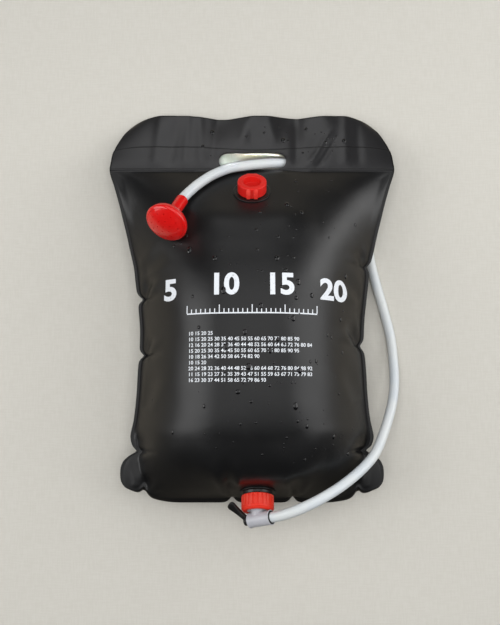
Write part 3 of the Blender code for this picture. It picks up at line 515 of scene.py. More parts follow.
class FinishBox:
    """Every material, made once."""

    def __init__(self) -> None:
        """Builds the materials."""
        red_rub, dark_rub = (0.72, 0.16, 0.11), (0.03, 0.03, 0.03)
        self.sheet = RolledVinyl().build()
        self.ink = PrintInk().build()
        self.water = ClearWater().build()
        self.hose = MilkyVinyl().build()
        self.linen = Linen().build()
        self.port = MouldedPlastic(
            "black_moulded_vinyl", (0.006, 0.006, 0.006), dark_rub, 0.34
        ).build()
        self.rubber = MouldedPlastic(
            "black_seal_rubber", (0.01, 0.01, 0.01), dark_rub, 0.55, 0.00006
        ).build()
        self.cap = MouldedPlastic(
            "red_cap_plastic_finish", (0.64, 0.014, 0.01), red_rub, 0.36, wear=0.2, gloss=0.3
        ).build()
        self.nut = MouldedPlastic(
            "red_nut_plastic_finish", (0.72, 0.028, 0.012), red_rub, 0.4, wear=0.3, gloss=0.3
        ).build()
        self.head = MouldedPlastic(
            "red_head_plastic_finish", (0.66, 0.007, 0.006), red_rub, 0.2, wear=0.05, coat=0.6,
            gloss=0.3,
        ).build()
        self.tap = MouldedPlastic(
            "milky_tap_plastic", (0.46, 0.465, 0.5), (0.62, 0.62, 0.64), 0.3, wear=0.3,
            dust=0.02, scatter=0.4,
        ).build()
        self.lever = MouldedPlastic(
            "black_lever_plastic_finish", (0.007, 0.0065, 0.0065), dark_rub, 0.42, 0.00008,
            gloss=0.35,
        ).build()


# Tools for making meshes


def linked(name: str, data: Any) -> Piece:
    """Puts an object of some data in the scene, and returns it."""
    made = bpy.data.objects.new(name, data)
    bpy.context.scene.collection.objects.link(made)
    return made


def mesh_object(name: str, vertices: Any, faces: Any) -> Piece:
    """Makes a mesh object in the scene.

    Args:
        name: the object's name.
        vertices: its points.
        faces: its faces as vertex numbers.

    Returns:
        The object, at the origin.
    """
    mesh = bpy.data.meshes.new(name)
    mesh.from_pydata([tuple(map(float, point)) for point in vertices], [], faces)
    return linked(name, mesh)


def closed_piece(name: str, vertices: Any, faces: Any) -> Piece:
    """Makes a smooth closed piece, its doubles merged and its faces turned outwards."""
    made = mesh_object(name, vertices, faces)
    work = bmesh.new()
    work.from_mesh(made.data)
    bmesh.ops.remove_doubles(work, verts=work.verts, dist=1e-6)
    bmesh.ops.recalc_face_normals(work, faces=work.faces)
    work.to_mesh(made.data)
    work.free()
    return shade(made)


def shade(made: Piece, angle_deg: float = 32.0) -> Piece:
    """Shades a piece smooth but for its sharp edges, and returns it."""
    made.data.shade_smooth()
    made.data.set_sharp_from_angle(angle=math.radians(angle_deg))
    return made


def apply_modifiers(made: Piece) -> Piece:
    """Makes the evaluated piece a plain mesh, and returns it."""
    graph = bpy.context.evaluated_depsgraph_get()
    mesh = bpy.data.meshes.new_from_object(made.evaluated_get(graph), depsgraph=graph)
    made.modifiers.clear()
    made.data = mesh
    return made


def modify(made: Piece, kind: str, **settings: Any) -> None:
    """Adds a modifier of a kind to a piece with its settings."""
    modifier = made.modifiers.new(kind.lower(), kind)
    for key, value in settings.items():
        setattr(modifier, key, value)


def measured(made: Piece, values: dict[str, Array]) -> None:
    """Writes measures of a mesh's points into it as attributes.

    Args:
        made: the piece.
        values: a number or a direction for each point, by the measure's name.
    """
    for key, value in values.items():
        plain = value.size == len(made.data.vertices)
        kind = ("FLOAT", "value") if plain else ("FLOAT_VECTOR", "vector")
        attribute = made.data.attributes.new(key, kind[0], "POINT")
        attribute.data.foreach_set(kind[1], value.reshape(-1).astype(np.float32))


def transform(made: Piece, matrix: Matrix) -> Piece:
    """Puts a placement into the mesh and returns the object."""
    made.data.transform(matrix)
    made.data.update()
    return made


def frame_at(origin: Sequence[float], along: Sequence[float], across: Sequence[float]) -> Matrix:
    """Makes a frame.

    Args:
        origin: the frame's origin.
        along: the direction of its Z.
        across: the direction its X is nearest to.

    Returns:
        The frame's matrix.
    """
    z = Vector(along).normalized()
    x = (Vector(across) - z * Vector(across).dot(z)).normalized()
    made = Matrix((x, z.cross(x), z)).transposed().to_4x4()
    made.translation = Vector(origin)
    return made


def joint_frame(name: str, across: Sequence[float]) -> Matrix:
    """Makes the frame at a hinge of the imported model.

    Args:
        name: the hinge's name.
        across: the direction that the frame's X is nearest to.

    Returns:
        The frame, its Z along the hinge's axis.
    """
    joint = next(item for item in frame["joints"] if item["name"] == name)
    return frame_at(joint["pos_m"], joint["axis"], across)


def rounded(corners: Profile) -> list[Pair]:
    """Rounds the corners of a profile.

    Args:
        corners: each corner's radius, height and how far its rounding reaches.

    Returns:
        The profile's points as radius and height.
    """
    points: list[Pair] = []
    count, steps = len(corners), 4
    for k, (radius, height, reach) in enumerate(corners):
        here = Vector((radius, height))
        if reach <= 0:
            points.append((radius, height))
            continue
        before = Vector(corners[k - 1][:2]) - here
        after = Vector(corners[(k + 1) % count][:2]) - here
        start = here + before.normalized() * min(reach, before.length * 0.49)
        end = here + after.normalized() * min(reach, after.length * 0.49)
        for step in range(steps + 1):
            t = step / steps
            point = start * (1 - t) ** 2 + here * (2 * t * (1 - t)) + end * t**2
            points.append((point.x, point.y))
    return points


def turned(name: str, corners: Profile, place: Matrix, sides: int = 96) -> Piece:
    """Turns a profile about its axis into a closed piece.

    Args:
        name: the piece's name.
        corners: the profile as radius, height and rounding, a ring or from axis to axis.
        place: the frame whose Z is the axis.
        sides: steps round the axis.

    Returns:
        The object, with its place in its mesh.
    """
    profile = rounded(corners)
    closed = min(radius for radius, _ in profile) > 1e-7
    vertices: list[Vector] = []
    rings: list[list[int]] = []
    for radius, height in profile:
        if radius < 1e-7:
            vertices.append(place @ Vector((0, 0, height)))
            rings.append([len(vertices) - 1] * sides)
            continue
        ring = []
        for k in range(sides):
            angle = math.tau * k / sides
            point = Vector((radius * math.cos(angle), radius * math.sin(angle), height))
            vertices.append(place @ point)
            ring.append(len(vertices) - 1)
        rings.append(ring)
    faces = []
    pairs = list(zip(rings, rings[1:])) + ([(rings[-1], rings[0])] if closed else [])
    for upper, lower in pairs:
        for k in range(sides):
            nxt = (k + 1) % sides
            loop = dict.fromkeys((upper[k], upper[nxt], lower[nxt], lower[k]))
            if len(loop) > 2:
                faces.append(tuple(loop))
    return closed_piece(name, vertices, faces)


def lofted(name: str, rings: Sequence[Sequence[Vector]]) -> Piece:
    """Makes a closed piece through rings of equal counts, capped at both ends."""
    count = len(rings[0])
    vertices = [point for ring in rings for point in ring]
    faces = [tuple(range(count))[::-1]]
    for row in range(len(rings) - 1):
        for k in range(count):
            nxt = (k + 1) % count
            low, high = row * count, (row + 1) * count
            faces.append((low + k, low + nxt, high + nxt, high + k))
    faces.append(tuple(range(len(vertices) - count, len(vertices))))
    return closed_piece(name, vertices, faces)


def joined(name: str, *pieces: Piece) -> Piece:
    """Joins pieces into the first one under a new name, and returns it."""
    work = bmesh.new()
    for piece in pieces:
        work.from_mesh(piece.data)
    first = pieces[0]
    for piece in pieces[1:]:
        bpy.data.objects.remove(piece)
    work.to_mesh(first.data)
    work.free()
    first.name = name
    first.data.name = name
    return shade(first)


def cut(made: Piece, operation: str, tool: Piece) -> Piece:
    """Joins, or cuts with, a tool piece, which is used up.

    Args:
        made: the piece that is changed.
        operation: UNION or DIFFERENCE.
        tool: the piece that is used up.

    Returns:
        The changed piece.
    """
    modify(made, "BOOLEAN", operation=operation, solver="EXACT", object=tool)
    apply_modifiers(made)
    bpy.data.objects.remove(tool)
    return shade(made)


def bored(made: Piece, radius: float, low: float, high: float, place: Matrix) -> Piece:
    """Drills a round hole through a piece.

    Args:
        made: the piece that is drilled.
        radius: the hole's radius.
        low: where the hole starts on the axis.
        high: where it ends.
        place: the frame whose Z is the axis.

    Returns:
        The drilled piece.
    """
    drill = [(0, low, 0), (radius, low, 0), (radius, high, 0), (0, high, 0)]
    return cut(made, "DIFFERENCE", turned("drill", drill, place, 32))


def melted(made: Piece, voxel: float, rounds: int) -> Piece:
    """Melts overlapping solids into one with soft inner corners.

    Args:
        made: the piece, of closed solids that overlap.
        voxel: the remesh's cell.
        rounds: how many rounds of smoothing follow.

    Returns:
        The melted piece.
    """
    modify(made, "REMESH", mode="VOXEL", voxel_size=voxel)
    modify(made, "SMOOTH", factor=0.5, iterations=rounds)
    return shade(apply_modifiers(made), 60.0)


def dress(
    made: Piece, finish: Material, body: Body, slot: Slot | None, *nodes: str
) -> Piece:
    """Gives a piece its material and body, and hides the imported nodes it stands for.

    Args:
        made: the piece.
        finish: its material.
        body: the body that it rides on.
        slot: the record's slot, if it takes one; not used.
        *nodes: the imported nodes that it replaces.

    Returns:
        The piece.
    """
    made.data.materials.clear()
    made.data.materials.append(finish)
    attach(made, body.value)
    if nodes:
        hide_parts(*nodes)
    LOG.info("%s rides on %s", made.name, body.value)
    return made


# Geometry node trees


class GeometrySheet(GroupSheet):
    """A geometry node tree with its sizes and its material as named inputs."""

    def __init__(self, name: str, **sizes: float) -> None:
        """Makes the tree.

        Args:
            name: the tree's name.
            **sizes: the default of each size, with _ for a space.
        """
        inputs: dict[str, Any] = {"Geometry": "Geometry"}
        inputs |= {key.replace("_", " "): value for key, value in sizes.items()}
        inputs["Material"] = "Material"
        super().__init__("Geometry", name, inputs, {"Geometry": "Geometry"})

    def end(self, geometry: Any) -> Tree:
        """Ends the tree in Realize Instances and Set Material, and returns it."""
        real = self.fed("GeometryNodeRealizeInstances", Geometry=geometry)
        finish = self.given["Material"]
        self.put(self.made[0], self.fed("GeometryNodeSetMaterial", Geometry=real, Material=finish))
        return self.tree


def grown(made: Piece, tree: Tree, finish: Material, **sizes: float) -> Piece:
    """Runs a geometry node tree on a piece and keeps its plain mesh.

    Args:
        made: the piece the tree starts from.
        tree: the geometry node tree.
        finish: its material.
        **sizes: its sizes by name, with _ for a space.

    Returns:
        The piece with its new mesh.
    """
    modifier = made.modifiers.new("grow", "NODES")
    modifier.node_group = tree
    values = {key.replace("_", " "): value for key, value in sizes.items()}
    values["Material"] = finish
    for item in tree.interface.items_tree:
        if item.in_out == "INPUT" and item.name in values:
            modifier[item.identifier] = values[item.name]
    return apply_modifiers(made)


def ring_of_tree() -> Tree:
    """Makes the tree that sets turned copies of a mesh round the Z axis.

    Returns:
        The tree.
    """
    sheet = GeometrySheet("ring_of_copies", Count=12, Radius=0.01)
    given = sheet.given
    circle = sheet.fed("GeometryNodeMeshCircle", Vertices=given["Count"], Radius=given["Radius"])
    step = sheet.math("DIVIDE", math.tau, given["Count"])
    angle = sheet.math("MULTIPLY", sheet.fed("GeometryNodeInputIndex"), step)
    return sheet.end(sheet.fed(
        "GeometryNodeInstanceOnPoints", Points=circle, Instance=given["Geometry"],
        Rotation=sheet.fed("ShaderNodeCombineXYZ", Z=angle),
    ))


def thread_tree() -> Tree:
    """Makes the tree that sweeps a small round-edged section along a screw's helix.

    Returns:
        The tree.
    """
    sheet = GeometrySheet("screw_thread", Radius=0.016, Rise=0.006, Turns=1.5, Thickness=0.0008)
    given = sheet.given
    helix = sheet.fed(
        "GeometryNodeCurveSpiral", Resolution=64, Rotations=given["Turns"],
        Start_Radius=given["Radius"], End_Radius=given["Radius"], Height=given["Rise"],
    )
    section = sheet.fed(
        "GeometryNodeCurvePrimitiveCircle", Resolution=8, Radius=given["Thickness"]
    )
    return sheet.end(sheet.fed(
        "GeometryNodeCurveToMesh", Curve=helix, Profile_Curve=section, Fill_Caps=True
    ))


def drop_tree() -> Tree:
    """Makes the tree that sets a drop on each point, by its own size and direction.

    Returns:
        The tree.
    """
    sheet = GeometrySheet("drops_on_points")
    ball = sheet.fed("GeometryNodeMeshIcoSphere", Radius=1.0, Subdivisions=3)
    flat = sheet.fed("GeometryNodeTransform", Geometry=ball, Scale=(1.0, 1.0, 0.5))
    read = []
    for key, kind in (("size", "FLOAT"), ("stretch", "FLOAT"), ("facing", "FLOAT_VECTOR")):
        node = sheet.add("GeometryNodeInputNamedAttribute", data_type=kind)
        read.append(sheet.feed(node, Name=f"drop_{key}").outputs[0])
    size, stretch, facing = read
    turn = sheet.add("FunctionNodeAlignEulerToVector", axis="Z")
    sheet.feed(turn, Vector=facing)
    scale = sheet.fed(
        "ShaderNodeCombineXYZ", X=size, Y=sheet.math("MULTIPLY", size, stretch), Z=size
    )
    return sheet.end(sheet.fed(
        "GeometryNodeInstanceOnPoints", Points=sheet.given["Geometry"], Instance=flat,
        Rotation=turn.outputs[0], Scale=scale,
    ))


def perforated_tree() -> Tree:
    """Makes the tree that drills a hexagon of round holes through a plate, along its Z.

    Returns:
        The tree.
    """
    sheet = GeometrySheet("perforated_plate", Pitch=0.0095, Hole_Radius=0.0007, Depth=0.03)
    given = sheet.given
    drill = sheet.fed(
        "GeometryNodeMeshCylinder", Vertices=12, Radius=given["Hole Radius"], Depth=given["Depth"]
    )
    join = sheet.add("GeometryNodeJoinGeometry")
    sheet.put(join.inputs[0], drill)
    for ring, turn in ((1, 0.0), (2, 0.26)):
        spread = sheet.math("MULTIPLY", given["Pitch"], ring)
        circle = sheet.fed("GeometryNodeMeshCircle", Vertices=6 * ring, Radius=spread)
        points = sheet.fed("GeometryNodeTransform", Geometry=circle, Rotation=(0.0, 0.0, turn))
        holes = sheet.fed("GeometryNodeInstanceOnPoints", Points=points, Instance=drill)
        sheet.put(join.inputs[0], sheet.fed("GeometryNodeRealizeInstances", Geometry=holes))
    drilled = sheet.add("GeometryNodeMeshBoolean", operation="DIFFERENCE", solver="EXACT")
    sheet.put(drilled.inputs["Mesh 1"], given["Geometry"])
    sheet.put(drilled.inputs["Mesh 2"], join.outputs[0])
    return sheet.end(drilled.outputs[0])


# The bag's surface


def blended(before: Any, after: Any, leave: Any, arrive: Any, t: Any) -> Any:
    """Runs a smooth curve from one value or point to another.

    Args:
        before: where it starts.
        after: where it ends.
        leave: how steeply it leaves the start.
        arrive: how steeply it comes to the end.
        t: how far along it to read, from nothing to one.

    Returns:
        The value or point there.
    """
    return (
        before * (2 * t**3 - 3 * t**2 + 1) + leave * (t**3 - 2 * t**2 + t)
        + after * (3 * t**2 - 2 * t**3) + arrive * (t**3 - t**2)
    )


def smooth_table(table: Table, share: Array) -> Array:
    """Reads a smooth curve through a table.

    Args:
        table: rows of place and value.
        share: the places to read.

    Returns:
        The values there.
    """
    keys = np.array([row[0] for row in table])
    values = np.array([row[1] for row in table])
    last = len(keys) - 2
    start = np.clip(np.searchsorted(keys, share, side="right") - 1, 0, last)
    end, before, after = start + 1, np.maximum(start - 1, 0), np.minimum(start + 2, last + 1)
    span = keys[end] - keys[start]
    t = np.clip((share - keys[start]) / span, 0.0, 1.0)
    leave = (values[end] - values[before]) / (keys[end] - keys[before]) * span
    arrive = (values[after] - values[start]) / (keys[after] - keys[start]) * span
    return blended(values[start], values[end], leave, arrive, t)


def eased(value: Array) -> Array:
    """Returns a smooth step of values between nothing and one."""
    t = np.clip(value, 0.0, 1.0)
    return t * t * (3 - 2 * t)


class Edge(Enum):
    """The seam that a pinch draws in."""

    LEFT = -1
    RIGHT = 1
    BOTTOM = 0


@dataclass(frozen=True)
class Pinch:
    """A place where a seam is drawn in, and the fold that runs from it into the sheet."""

    edge: Edge
    place: float
    depth: float
    width: float
    heading_deg: float
    length: float
    fold_depth: float = 0.0045
    fold_width: float = 0.005


@dataclass(frozen=True)
class Fold:
    """A valley between two places in plan, with a low bank on each side."""

    start: Pair
    end: Pair
    depth: float
    width: float
    widening: float = 0.0
    bank: float = 0.35


@dataclass(frozen=True)
class Ripple:
    """A soft standing wave in the header flap, leaning as it goes up from start to end."""

    x: float
    height: float
    width: float
    lean: float = 0.0
    start: float = 0.0
    end: float = 2.0


@dataclass(frozen=True)
class PortSeat:
    """A flat seat in the front sheet under a port."""

    centre: Triple
    outward: Triple
    side_reach: float = 0.036
    side_fade: float = 0.056
    slope_reach: float = 0.036
    slope_fade: float = 0.06
    low_reach: float = 0.045
    low_fade: float = 0.028

    def flattened(self, points: Array) -> Array:
        """Moves points onto the seat's plane where they lie on the seat.

        Args:
            points: the sheet's points.

        Returns:
            The moved points.
        """
        out = np.array(self.outward) / np.linalg.norm(self.outward)
        up = np.cross(out, (1.0, 0.0, 0.0))
        offset = points - np.array(self.centre)
        weight = 1 - eased((np.abs(offset[..., 0]) - self.side_reach) / self.side_fade)
        along = offset @ up
        towards_crown = along * np.sign(up[1]) * np.sign(self.centre[1]) < 0
        reach = np.where(towards_crown, self.slope_reach, self.low_reach)
        fade = np.where(towards_crown, self.slope_fade, self.low_fade)
        weight *= 1 - eased((np.abs(along) - reach) / fade)
        return points - out * ((offset @ out) * weight)[..., None]


@dataclass(frozen=True)
class BagForm:
    """The shape of the filled bag: both sheets, their seams, folds and seats."""

    gap: float = 0.0003
    wall: float = 0.0008
    length: float = 0.561
    bottom: float = -0.23
    header: float = 0.094
    flange: float = 0.0048
    bottom_flange: float = 0.007
    bottom_droop: float = 0.9
    seam_rise: float = 0.058
    crown_rise: float = 0.112
    side_fullness: float = 2.8
    top_fullness: float = 2.1
    bottom_fullness: float = 6.0
    roll: float = 0.075
    roll_curve: float = 1.5
    top_corner_drop: float = 0.014
    top_corner_start: float = 0.76
    bottom_corner_rise: float = 0.0165
    bottom_corner_reach: float = 0.06
    bottom_corner_start: float = 0.6
    half_widths: Table = (
        (-0.23, 0.1655), (-0.2262, 0.1722), (-0.2198, 0.1778), (-0.212, 0.1808),
        (-0.203, 0.1819), (-0.193, 0.1819), (-0.185, 0.1811), (-0.178, 0.1792),
        (-0.172, 0.1763), (-0.167, 0.172), (-0.162, 0.1672), (-0.157, 0.1654),
        (-0.15, 0.1668), (-0.139, 0.1685),
        (-0.117, 0.1642), (-0.084, 0.1608), (-0.05, 0.1592), (-0.017, 0.1572),
        (0.006, 0.1568), (0.029, 0.1585), (0.051, 0.1612), (0.074, 0.164),
        (0.097, 0.167), (0.12, 0.1725), (0.143, 0.1778), (0.167, 0.184),
        (0.19, 0.19), (0.214, 0.1972), (0.237, 0.2045), (0.2523, 0.204),
        (0.2687, 0.2028), (0.284, 0.1993), (0.2993, 0.1936), (0.3157, 0.1857),
        (0.331, 0.1735),
    )
    body_half_widths: Table = (
        (-0.23, 0.146), (-0.212, 0.153), (-0.185, 0.159), (-0.157, 0.162),
        (-0.117, 0.164),
    )
    ear_share: float = 0.06
    ear_fullness: float = 6.0
    seam_shares: Table = (
        (0.000, 0.948), (0.16, 0.97), (0.41, 1.000), (0.7, 0.95), (0.832, 0.845),
        (0.9, 0.61), (1.000, 0.24),
    )
    pinches: tuple[Pinch, ...] = (
        Pinch(Edge.LEFT, 0.051, 0.008, 0.0052, 62.0, 0.04),
        Pinch(Edge.LEFT, -0.028, 0.007, 0.0048, 70.0, 0.034, 0.0035),
        Pinch(Edge.LEFT, -0.16, 0.0062, 0.0044, 52.0, 0.034, 0.0018, 0.008),
        Pinch(Edge.RIGHT, 0.0965, 0.0052, 0.0048, 128.0, 0.034, 0.0035),
        Pinch(Edge.RIGHT, -0.015, 0.0066, 0.0062, 128.0, 0.044),
        Pinch(Edge.RIGHT, -0.159, 0.008, 0.0046, 140.0, 0.032, 0.0018, 0.008),
        Pinch(Edge.BOTTOM, -0.149, 0.01, 0.0055, 65.0, 0.024, 0.002, 0.007),
        Pinch(Edge.BOTTOM, -0.0275, 0.0095, 0.0052, 97.0, 0.06, 0.004, 0.0045),
        Pinch(Edge.BOTTOM, 0.056, 0.0092, 0.0052, 84.0, 0.04, 0.003, 0.0045),
        Pinch(Edge.BOTTOM, 0.146, 0.01, 0.0055, 115.0, 0.024, 0.002, 0.007),
    )
    folds: tuple[Fold, ...] = (
        Fold((-0.161, -0.16), (-0.148, -0.206), 0.0012, 0.0085, 0.0, 0.0),
        Fold((0.159, -0.158), (0.146, -0.206), 0.0012, 0.0085, 0.0, 0.0),
        Fold((0.196, 0.232), (0.13, 0.13), 0.0016, 0.011, 0.02),
        Fold((-0.196, 0.232), (-0.14, 0.12), 0.002, 0.011, 0.018),
        Fold((0.148, 0.055), (0.11, 0.085), 0.002, 0.008, 0.004),
        Fold((-0.146, 0.092), (-0.11, 0.112), 0.0018, 0.008, 0.004),
        Fold((0.144, -0.085), (0.118, -0.03), 0.0016, 0.009, 0.004),
        Fold((-0.146, -0.095), (-0.126, -0.04), 0.0016, 0.009, 0.004),
    )
    wave_height: float = 0.0036
    wave_start: float = 0.04
    waves: tuple[Triple, ...] = (
        (-0.66, 0.8, 0.13), (-0.23, -1.00, 0.14), (0.03, 0.9, 0.13), (0.31, -1.00, 0.12),
        (0.59, 0.9, 0.12),
    )
    ripples: tuple[Ripple, ...] = (
        Ripple(-0.14, 0.0011, 0.008, 0.06), Ripple(-0.119, -0.0009, 0.007, 0.1),
        Ripple(-0.0975, 0.0008, 0.005, 0.04), Ripple(-0.073, 0.001, 0.006, -0.05),
        Ripple(-0.06, -0.001, 0.006, 0.1), Ripple(-0.03, 0.0014, 0.009, 0.3, 0.4),
        Ripple(0.012, -0.0012, 0.009, -0.2, 0.4), Ripple(0.036, 0.0014, 0.009, -0.1, 0.4),
        Ripple(0.064, -0.0018, 0.0085, 0.04), Ripple(0.078, 0.0016, 0.0055, 0.55, 0.0, 0.55),
        Ripple(0.092, -0.0014, 0.006, 0.55, 0.0, 0.5), Ripple(0.134, 0.0013, 0.0075, 0.05),
        Ripple(0.154, -0.0008, 0.007, 0.02),
    )
    top_dips: tuple[Triple, ...] = (
        (-0.043, 0.0045, 0.03), (0.07, 0.0032, 0.028),
    )
    weld_dip: Triple = (0.004, 0.004, 0.036)
    band_line: float = 0.04
    band_dip: Triple = (0.008, 0.0052, 0.052)
    fill_seat: PortSeat = PortSeat((0.0, 0.197, 0.09068), (0.0, 0.666422, 0.745574))
    outlet_seat: PortSeat = PortSeat((0.0074, -0.211173, 0.086043), (0.0, -0.93358, 0.358368))

    @property
    def top(self) -> float:
        """The y of the header's top edge."""
        return self.bottom + self.length

    @property
    def weld(self) -> float:
        """The y of the weld under the slot."""
        return self.top - self.header

    @property
    def chamber_bottom(self) -> float:
        """The y where the chamber ends at the bottom seam."""
        return self.bottom + self.bottom_flange

    def half_width(self, row: Array) -> Array:
        """Returns the half width of a row, before the pinches."""
        return smooth_table(self.half_widths, row)

    def chamber_share(self, row: Array) -> Array:
        """Returns how much of the half width lies inside the side seams."""
        return 1 - self.flange / self.half_width(row)

    def plan(self, side: Array, row: Array) -> tuple[Array, Array]:
        """Lays out a place of the sheet in plan, with its corners and pinches drawn in.

        Args:
            side: share of the half width.
            row: the row's y before the corners.

        Returns:
            The places' x and y.
        """
        x = side * self.half_width(row)
        y = row + np.zeros_like(x)
        up = np.clip((row - self.weld) / self.header, 0.0, 1.0)
        over = np.clip((np.abs(side) - self.top_corner_start) / (1 - self.top_corner_start), 0, 1)
        y = y - self.top_corner_drop * over**2 * up
        past = np.clip(1 - (row - self.bottom) / self.bottom_corner_reach, 0.0, 1.0)
        start = self.bottom_corner_start
        over = np.clip((np.abs(side) - start) / (1 - start), 0, 1)
        y = y + self.bottom_corner_rise * over**2 * past
        for place, depth, width in self.top_dips:
            y = y - depth * np.exp(-(((x - place) / width) ** 2)) * up**2
        middle, depth, width = self.weld_dip
        near = np.exp(-(((row - self.weld - 0.003) / 0.016) ** 2))
        y = y - depth * np.exp(-(((x - middle) / width) ** 2)) * near - self.band_sag(x, row)
        for pinch in self.pinches:
            if pinch.edge is Edge.BOTTOM:
                along = np.exp(-np.abs((x - pinch.place) / pinch.width) ** 1.5)
                y = y + pinch.depth * along * eased(1 - (row - self.bottom) / 0.045)
            else:
                along = np.exp(-np.abs((y - pinch.place) / pinch.width) ** 1.5)
                reach = eased((side * pinch.edge.value - 0.72) / 0.28)
                x = x - pinch.edge.value * pinch.depth * along * reach
        return x, y

    def band_sag(self, x: Array, row: Array) -> Array:
        """Returns how far the band's upper line sags over the slot."""
        middle, depth, width = self.band_dip
        near = np.exp(-(((row - self.weld - self.band_line) / 0.014) ** 2))
        return depth * np.exp(-(((x - middle) / width) ** 2)) * near

    def seam_height(self, row: Array) -> Array:
        """Returns the seam's height over the ground on a row."""
        level = self.seam_rise * smooth_table(self.seam_shares, (row - self.bottom) / self.length)
        return level - self.bottom_droop * np.maximum(self.chamber_bottom - row, 0.0)

    def crown(self, side: Array, row: Array) -> Array:
        """Returns how far the filled front stands over the seam."""
        middle = (self.weld + self.chamber_bottom) / 2
        half = (self.weld - self.chamber_bottom) / 2
        along = np.clip((row - middle) / half, -1.0, 1.0)
        across = np.clip(np.abs(side) / self.chamber_share(row), 0.0, 1.0)
        fullness = np.where(along > 0, self.top_fullness, self.bottom_fullness)
        wide, top = self.half_width(row), self.body_half_widths[-1][0]
        body = smooth_table(self.body_half_widths, row) - self.flange
        foot = eased((top - row) / 0.03)
        inner = across * (1 - foot) + foot * np.clip(np.abs(side) * wide / body, 0.0, 1.0)
        ear = self.ear_share * foot
        shape = (1 - ear) * (1 - inner**self.side_fullness) + ear * (1 - across**self.ear_fullness)
        return self.crown_rise * shape * (1 - np.abs(along) ** fullness)

    def underside(self, side: Array, row: Array) -> Array:
        """Returns the share of the seam's height that the back sheet keeps."""
        from_side = (self.chamber_share(row) - np.abs(side)) * self.half_width(row)
        from_end = np.minimum(self.weld - row, row - self.chamber_bottom)
        rolls = [np.clip(d / self.roll, 0.0, 1.0) for d in (from_side, from_end)]
        settled = (1 - (1 - rolls[0]) ** 2) * (1 - (1 - rolls[1]) ** 2)
        return (1 - settled) ** self.roll_curve

    def header_wave(self, side: Array, x: Array, row: Array) -> Array:
        """Returns how far the header flap stands off its even slope."""
        over = row - self.weld
        rise = eased((over - self.wave_start) / (self.header - self.wave_start))
        wave = np.zeros_like(x)
        for place, height, width in self.waves:
            swell = height * np.exp(-(((side - place) / width) ** 2))
            wave = wave + self.wave_height * rise * swell
        for ripple in self.ripples:
            centre = ripple.x + ripple.lean * over
            rise = eased((over / self.header - ripple.start) * 4.0)
            rise = rise * (1 - eased((over / self.header - ripple.end) * 4.0))
            wave = wave + ripple.height * rise * np.exp(-(((x - centre) / ripple.width) ** 2))
        return wave

    def fold_depth(self, x: Array, y: Array) -> Array:
        """Returns how far the folds push the front sheet in, less where they bank it up."""
        sunk = np.zeros_like(x)
        lines = list(self.folds)
        for pinch in self.pinches:
            x0, y0 = self.pinch_place(pinch)
            heading = math.radians(pinch.heading_deg)
            end = (x0 + pinch.length * math.cos(heading), y0 + pinch.length * math.sin(heading))
            lines.append(Fold((x0, y0), end, pinch.fold_depth, pinch.fold_width, 0.006, 0.5))
        for fold in lines:
            start, end = np.array(fold.start), np.array(fold.end)
            run = np.linalg.norm(end - start)
            ahead = (end - start) / run
            along = (x - start[0]) * ahead[0] + (y - start[1]) * ahead[1]
            aside = (y - start[1]) * ahead[0] - (x - start[0]) * ahead[1]
            share = np.clip(along / run, 0.0, 1.0)
            width = fold.width + fold.widening * share
            fade = eased(along / 0.008 + 1.0) * eased((1.0 - share) * 1.6) ** 1.2
            t = aside / width
            valley = np.exp(-(t**2)) - fold.bank * np.exp(-((np.abs(t) - 1.7) ** 2) * 1.6)
            sunk = sunk + fold.depth * valley * fade
        return sunk

    def pinch_place(self, pinch: Pinch) -> Pair:
        """Returns where in plan a pinch's notch ends."""
        if pinch.edge is Edge.BOTTOM:
            side = abs(pinch.place) / float(self.half_width(np.array(self.bottom)))
            start = self.bottom_corner_start
            over = max(side - start, 0.0) / (1 - start)
            return pinch.place, self.bottom + self.bottom_corner_rise * over**2 + pinch.depth
        reach = float(self.half_width(np.array(pinch.place))) - pinch.depth
        return pinch.edge.value * reach, pinch.place

    def front_base(self, side: Array, row: Array) -> Array:
        """Returns the front sheet's inner face before its folds."""
        x, y = self.plan(side, row)
        rise = self.crown(side, row)
        seam = self.seam_height(row - self.band_sag(x, row))
        z = seam + self.gap / 2 + rise + self.header_wave(side, x, row)
        points = np.stack([x, y, z], axis=-1)
        seated = self.outlet_seat.flattened(self.fill_seat.flattened(points))
        return np.where(rise[..., None] > 0, seated, points)

    def back_base(self, side: Array, row: Array) -> Array:
        """Returns the back sheet's outer face before its folds."""
        x, y = self.plan(side, row)
        keep = self.underside(side, row)
        seam = self.seam_height(row - self.band_sag(x, row))
        z = (seam - self.gap / 2 - self.wall) * keep
        return np.stack([x, y, z + self.header_wave(side, x, row)], axis=-1)

    def normals(self, surface: Callable, side: Array, row: Array) -> Array:
        """Returns the upward normals of one of the bag's surfaces.

        Args:
            surface: the method that gives the surface's points.
            side: share of the half width.
            row: the row's y before the corners.

        Returns:
            Unit normals.
        """
        step = 0.0008
        wide = step / self.half_width(row)
        across = surface(side + wide, row) - surface(side - wide, row)
        ahead = surface(side, row + step) - surface(side, row - step)
        normal = np.cross(across, ahead)
        normal /= np.maximum(np.linalg.norm(normal, axis=-1, keepdims=True), 1e-12)
        return normal

    def inside_seams(self, side: Array, row: Array) -> Array:
        """Returns how far inside the chamber's seams a place is, negative outside."""
        from_side = (1 - np.abs(side)) * self.half_width(row) - self.flange
        return np.minimum(from_side, np.minimum(row - self.chamber_bottom, self.weld - row))

